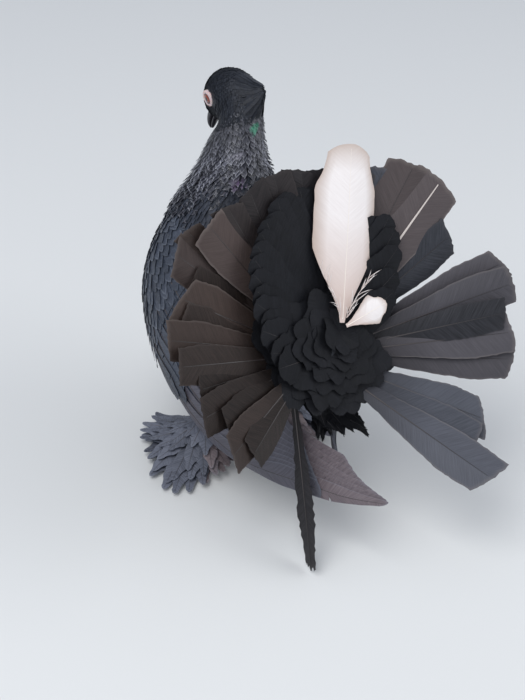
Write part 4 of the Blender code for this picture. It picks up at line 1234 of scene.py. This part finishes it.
# %% Coverts in tiers
# Angle, tilt and length at a few places of the two groups, left and right of the long white feather
LEFT_COVERTS = ((3, 25, 58), (28, 21, 70), (41, 19, 80), (52, 17, 93), (62, 16, 104), (71, 15, 110),
                (79, 14, 118), (86, 13, 119), (94, 11, 117))
RIGHT_COVERTS = ((112, 9, 108), (121, 15, 106), (127, 16, 108), (134, 17, 100), (141, 20, 84), (151, 24, 68))
long_coverts = []
for table, count, roll in ((LEFT_COVERTS, 17, 5), (RIGHT_COVERTS, 8, -5)):
    for i in range(count):
        angle, funnel, length = along(table, i / (count - 1) * (len(table) - 1))
        long_coverts.append(tail_quill(angle, funnel, length + chance.uniform(-3, 3), 14, 12, 10, roll,
                                       camber=0.006, wave=0.6, root_width=9, square=0.65, widest=0.5,
                                       tone=chance.uniform(0.3, 0.6), slits=0, shaft=0.3, fray=0.5))
# Each tier has its count, first and last angle, length, tilt, place behind the fan, start and bend
COVERT_TIERS = ((16, -100, 250, 66, 15, 9, 12, -3), (15, -96, 246, 58, 17, 12, 10, -4),
                (13, -104, 250, 50, 19, 15, 8, -5), (12, -98, 244, 42, 22, 18, 4, -6),
                (10, -106, 240, 33, 25, 20, 0, -6), (8, -100, 230, 26, 26, 22, -5, -5),
                (7, -95, 250, 20, 30, 24, -8, -3))
MOP_SHIFT = LEFT * -9 + TAIL_UP * 12    # the innermost tier's middle, from the hub
MOP_DROOP = 0.3                         # the share that a feather is shorter when it hangs straight down
UNDER_WHITE = ((97, 24), (168, 20))     # where white feathers lie on the tiers: angle and span of angle
FLAT_FUNNEL, FLAT_BACK = 8, 7           # tilt and place of a covert that lies under one
VENT_FEATHERS = 16                      # loose feathers under the tail, over the vent
short_coverts = []
for tier, (count, low, high, reach, funnel, back, start, bend) in enumerate(COVERT_TIERS):
    hub = HUB + MOP_SHIFT * tier / 6
    for i in range(count):
        angle = blend(low, high, (i + 0.5 * chance.uniform(-1, 1)) / (count - 1))
        under = any(abs(angle - middle) < span for middle, span in UNDER_WHITE)
        if under and reach < 60:
            continue
        hanging = max(0.0, -math.sin(math.radians(angle)))
        length = (reach + chance.uniform(-4, 4)) * (1 - MOP_DROOP * hanging)
        tilt = FLAT_FUNNEL if under else funnel + chance.uniform(-3, 3)
        short_coverts.append(tail_quill(angle, tilt, length, 15, start, FLAT_BACK if under else back,
                                        chance.uniform(-5, 5), lift=bend, camber=0.007,
                                        sway=chance.uniform(-4, 4), hub=hub, root_width=8, square=0.55,
                                        widest=0.5, tone=chance.uniform(0.2, 0.6), thick=0.25, slits=0,
                                        shaft=0.0, fray=0.4))
for i in range(VENT_FEATHERS):
    root = np.array((chance.uniform(-16, 12), chance.uniform(76, 88), chance.uniform(92, 108)))
    share = i / (VENT_FEATHERS - 1)
    tip = np.array((blend(10, -30, share), 104 + i, 74 + chance.uniform(-8, 10)))
    length = np.linalg.norm(tip - root)
    carrier = straight(root, tip - root, TAIL_BACK, length, sway=chance.uniform(-5, 5))
    short_coverts.append(quill(carrier, length, 6, square=0.3, widest=0.4, tone=chance.uniform(0, 0.6),
                               thick=0.3, shaft=0.3, fray=1.2))
quill_piece("tail_coverts_long", long_coverts, [covert_finish, shaft_finish], "tail_feathers")
quill_piece("tail_coverts_short", short_coverts, [covert_finish, shaft_finish], "tail_feathers",
            columns=16, rows=16)
# The front of the fan has three tiers, each with its count, length and place behind the fan's plane
front_coverts = []
for count, length, back in ((13, 64, -5), (13, 46, -8), (11, 31, -11)):
    for i in range(count):
        angle = blend(14, 166, i / (count - 1))
        front_coverts.append(tail_quill(angle, 5 - length / 30, length, 11, 10, back, 7, camber=-0.01,
                                        root_width=6, square=0.4, widest=0.6, tone=chance.uniform(0, 0.8),
                                        thick=0.3, slits=0, shaft=0.4, fray=0.5))
quill_piece("tail_coverts_front", front_coverts, [body_finish, shaft_finish], "tail_feathers",
            columns=8, rows=14)
STUMP, STUMP_DEPTH, STUMP_BACK = 24, 21, 4      # the tail's fleshy root: its size, depth and place


def on_stump(x, y, z):
    return HUB + LEFT * x * STUMP + TAIL_UP * y * STUMP + TAIL_BACK * (z * STUMP_DEPTH + STUMP_BACK)


piece("tail_root", shaped_ball(on_stump), [down_finish], "tail_feathers")

# %% [markdown]
# ## White feathers
# Two feathers of this black bird are white: one long broad covert that stands straight up the fan,
# and a short one beside its foot. White keratin lets light through, and their cream edges are
# painted shade, where the curled vane turns from the light. Loose white down hangs at their roots.

# %% Long and short white feather
# The cream rim is painted shade over the white vanes' curled edges
white_finish = feather_finish("white feathers", "#e2dad7", "#f1ecea", root="#c8b0a4", rim="#a8907f",
                              rim_share=0.9, rim_start=0.6, streak_share=0.6, roughness=0.6)
white_shaft = new_finish("white feather shaft", roughness=0.4, base_color=hex_colour("#efe6dc"))[0]
PLUME_ANGLE, PLUME_LENGTH, PLUME_WIDTH = 107, 125, 25
SMALL_ANGLE, SMALL_LENGTH = 168, 37
WISPS, LEFT_WISPS = 34, 18              # threads of down at the long feather's foot
plume_way = tail_direction(PLUME_ANGLE, 8)
plume_root = HUB + LEFT * -9 + TAIL_UP * 19 + TAIL_BACK * 30
plume = straight(plume_root, plume_way, TAIL_BACK, PLUME_LENGTH, camber=0.009, sway=-2)
small_root = HUB + LEFT * -11 + TAIL_UP * 16 + TAIL_BACK * 31
small = straight(small_root, tail_direction(SMALL_ANGLE, 6), TAIL_BACK, SMALL_LENGTH, lift=-1, camber=0.016)
white = [quill(plume, PLUME_LENGTH, PLUME_WIDTH, root_width=2, square=0.7, widest=0.38, thick=0.6, slits=0,
               shaft=0.3, fray=0.4),
         quill(small, SMALL_LENGTH, 11, root_width=1.5, widest=0.7, thick=0.4, slits=0, shaft=0.4, fray=0.3)]
plume_side = unit(np.cross(plume_way, TAIL_BACK))
for i in range(WISPS):
    side = 1 if i < LEFT_WISPS else -1
    up = chance.uniform(3, 36)
    edge = blend(2, PLUME_WIDTH, smooth_step(up / 47)) * 0.96
    start = plume_root + plume_way * up + plume_side * side * edge + TAIL_BACK * 1.5
    way = tail_direction(PLUME_ANGLE + side * chance.uniform(10, 55), 12 + chance.uniform(0, 14))
    length = chance.uniform(7, 17)
    carrier = straight(start, way, TAIL_BACK, length, lift=chance.uniform(0, 3), sway=chance.uniform(-5, 5))
    white.append(quill(carrier, length, 0.25, root_width=0.2, square=0.1, widest=0.3, thick=0.14, slits=0,
                       shaft=0.0, fray=0.0))
quill_piece("white_feathers", white, [white_finish, white_shaft], "tail_feathers", columns=10, rows=24)

# %% [markdown]
# ## Feet
# The fantail's feet are grouse-footed: red scaly toes under long stiff feathers that spread outwards.
# Shank and toes are tapering lofts, with scales as a pattern of cells, and the long feathers are laid
# in five tiers, the longest lowest.

# %% Shank and toes
TOE_HEIGHT = 3.4                # the toes' middle above the floor
TOES = {"inner": (-112, 23), "middle": (-84, 30), "outer": (-54, 25), "hind": (98, 16)}
TOE_BUMPS = ((0.05, 4.1), (0.3, 3.5), (0.42, 4.0), (0.62, 3.3), (0.74, 3.7), (0.98, 2.6))  # share, radius
SHANK = ((-0.1, 6.2), (0.35, 5.4), (0.7, 4.8), (1, 5.4))        # share of the way down, radius
SOLE = (((-6, 0, 4.2), 5.5), ((0, 0, 4.6), 6.3), ((6, 0, 4.2), 5.5))    # points from the foot, radius
END_FROM, END_OVER = 0.42, 0.085        # where a tube's round ends start, in shares of it from its middle
# Scales are smooth plates of red skin, paler in the grooves between them
scale_finish = grained_finish("dull red scaly skin", 0.65, ("#d9b3aa", "#9c4b48"), 0.25, groove=0.18,
                              roughness=0.45)


def tube(points, radii, sides=20, count=24, floor=None):
    """A closed tapering tube on a smooth line, pressed flat where it would pass through the floor."""
    rows = along(np.column_stack([points, radii]), np.linspace(0, len(points) - 1, count))
    angle = round_angles(sides)
    rings = []
    for i, row in enumerate(rows):
        way = unit(rows[min(i + 1, count - 1), :3] - rows[max(i - 1, 0), :3])
        side = unit(np.cross(way, NEARLY_UP))
        past = max(0.0, abs(i / (count - 1) - 0.5) - END_FROM) / END_OVER
        radius = row[3] * math.sqrt(max(0.0, 1 - past ** 2))
        top = np.cross(side, way)
        ring = row[:3] + radius * (np.outer(np.cos(angle), side) + np.outer(np.sin(angle), top))
        if floor is not None:
            ring[:, 2] = np.maximum(ring[:, 2], floor)
        rings.append(settled(ring))
    return lofted(rings)


for name in ("left", "right"):
    foot, ankle, pad = foot_points(name)
    parts = [tube([blend(ankle, pad, t) for t, _ in SHANK], [radius for _, radius in SHANK]),
             tube([foot + p for p, _ in SOLE], [radius for _, radius in SOLE], floor=0.0)]
    for heading, length in TOES.values():
        a = math.radians(heading)
        way = mirrored((math.cos(a), math.sin(a), 0), name)
        line = [foot + way * length * t + np.array((0, 0, TOE_HEIGHT)) for t, _ in TOE_BUMPS]
        parts.append(tube(line, [radius for _, radius in TOE_BUMPS], floor=0.0))
    piece("toes_" + name, joined(parts), [scale_finish], "bare_skin", ("foot_" + name,))

# %% Long feathers of the feet
# Each tier has its count, height, length, how far it drops, and half width
MUFF = ((12, 8, 53, 5, 6.8), (12, 15, 52, 10, 6.6), (11, 23, 47, 16, 6.4), (10, 31, 40, 21, 6),
        (8, 38, 28, 21, 5.6))
MUFF_FROM, MUFF_SPAN = -72, 186         # the feathers stand from this angle on, over so many degrees
LONGEST_AT, LONGEST_SPAN = 48, 34       # those that point back and outwards are the longest
BROWN_FROM, BROWN_OVER = 62, 12         # those that point to the rear are brown
TIP_ROOM = 1.2                          # how far a tip stays above the floor
# Foot feathers rub on the floor, so they are paler and duller than the wings
muff_finish = feather_finish("blue-grey foot feathers", "#343842", "#6f7380", other=("#574d50", "#8b7b7a"),
                             root="#20242c", rim="#8b909c", rim_share=0.25, lanes=10.0, roughness=0.55)
for name in ("left", "right"):
    foot, ankle, pad = foot_points(name)
    muff = []
    for tier, (count, height, length, drop, width) in enumerate(MUFF):
        for i in range(count):
            turned = MUFF_SPAN * (i + 0.4 * (tier % 2)) / (count - 0.6)
            a = math.radians(MUFF_FROM + turned + chance.uniform(-3, 3))
            way = unit(mirrored((math.cos(a), math.sin(a), -drop / length), name))
            root = blend(pad, ankle, (height - pad[2]) / (ankle[2] - pad[2])) + way * 1.5
            back_and_out = math.exp(-((math.degrees(a) - LONGEST_AT) / LONGEST_SPAN) ** 2)
            long = length * chance.uniform(0.84, 1.0) * (0.84 + 0.46 * back_and_out)
            long = min(long, (root[2] - TIP_ROOM) / max(-way[2], 0.02))
            carrier = straight(root, way, (0, 0, 1), long, lift=1.5, camber=0.016,
                               sway=chance.uniform(-4, 4), wave=0.4)
            brown = 0.8 * smooth_step((math.degrees(a) - BROWN_FROM) / BROWN_OVER)
            muff.append(quill(carrier, long, width, root_width=2.4, square=0.42, widest=0.55,
                              tone=chance.uniform(0, 1), thick=0.3, slits=1, shaft=0.4, fray=0.35,
                              hue=brown))
    quill_piece("muff_" + name, muff, [muff_finish, shaft_finish], "body_feathers", columns=8, rows=16)

# %% [markdown]
# ## Floor, light and camera
# The bird stands on a plain pale floor under large soft lights, so that black feathers still show
# their form: a big one above and to the left of the camera, a weaker one from the other side, and a
# grey sky all round. The camera looks down from behind the bird's left side, as the photograph does.

# %% Floor
floor_finish = new_finish("matt pale floor", roughness=0.9, base_color=hex_colour("#d8d9d8"))[0]
floor_bm = bmesh.new()
bmesh.ops.create_grid(floor_bm, x_segments=1, y_segments=1, size=4.0)
floor = linked("floor", made_mesh("floor", floor_bm))
floor.data.materials.append(floor_finish)
floor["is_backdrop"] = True

# %% Lights
MIDDLE = Vector(settled((0, 0, 150)))   # of the bird


def soft_light(name, place, size, power):
    light = bpy.data.lights.new(name, "AREA")
    light.size, light.energy = size, power
    thing = linked(name, light)
    thing.location = MIDDLE + Vector(place)
    thing.rotation_euler = Vector(place).to_track_quat("Z", "Y").to_euler()


soft_light("key", (1.1, 0.35, 1.7), 1.4, 28)
soft_light("fill", (-1.4, 1.2, 0.9), 1.6, 17)
bpy.context.scene.view_settings.view_transform = "Standard"     # shows the colours as they were picked
world = bpy.data.worlds.new("soft grey room")
world.use_nodes = True
sky = world.node_tree.nodes["Background"]
sky.inputs["Color"].default_value = (0.82, 0.88, 1.0, 1.0)
sky.inputs["Strength"].default_value = 0.6
bpy.context.scene.world = world

# %% Camera
EYE_POINT = np.array((538.0, 739, 713))         # where the photograph was taken from
HEADING, PITCH, ROLL_LEFT = math.radians(36.7), math.radians(34.5), math.radians(4.9)
PHOTO_HEIGHT, FOCUS = 700, 1435                 # the photograph's height and its focal length in pixels
FILM = 36.0                                     # height of the camera's film in millimetres
ahead = np.array((-math.sin(HEADING) * math.cos(PITCH), -math.cos(HEADING) * math.cos(PITCH),
                  -math.sin(PITCH)))
right = np.array((-math.cos(HEADING), math.sin(HEADING), 0))
above = np.cross(right, ahead)
tilted_right = right * math.cos(ROLL_LEFT) + above * math.sin(ROLL_LEFT)
tilted_above = above * math.cos(ROLL_LEFT) - right * math.sin(ROLL_LEFT)
lens = bpy.data.cameras.new("camera")
lens.sensor_fit, lens.sensor_height, lens.lens = "VERTICAL", FILM, FOCUS / PHOTO_HEIGHT * FILM
camera = linked("camera", lens)
turned = Matrix(np.column_stack([tilted_right, tilted_above, -ahead]).tolist()).to_4x4()
camera.matrix_world = Matrix.Translation(settled(EYE_POINT)) @ turned
bpy.context.scene.camera = camera

# %% [markdown]
# ## The dressed size
# The dressed bird should stay inside the box of its solids but for the tips of a few feathers; its
# size is printed to set beside theirs.

# %% Sizes
dressed_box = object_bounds()
print("dressed:", [round(h - l, 4) for l, h in zip(*dressed_box)])
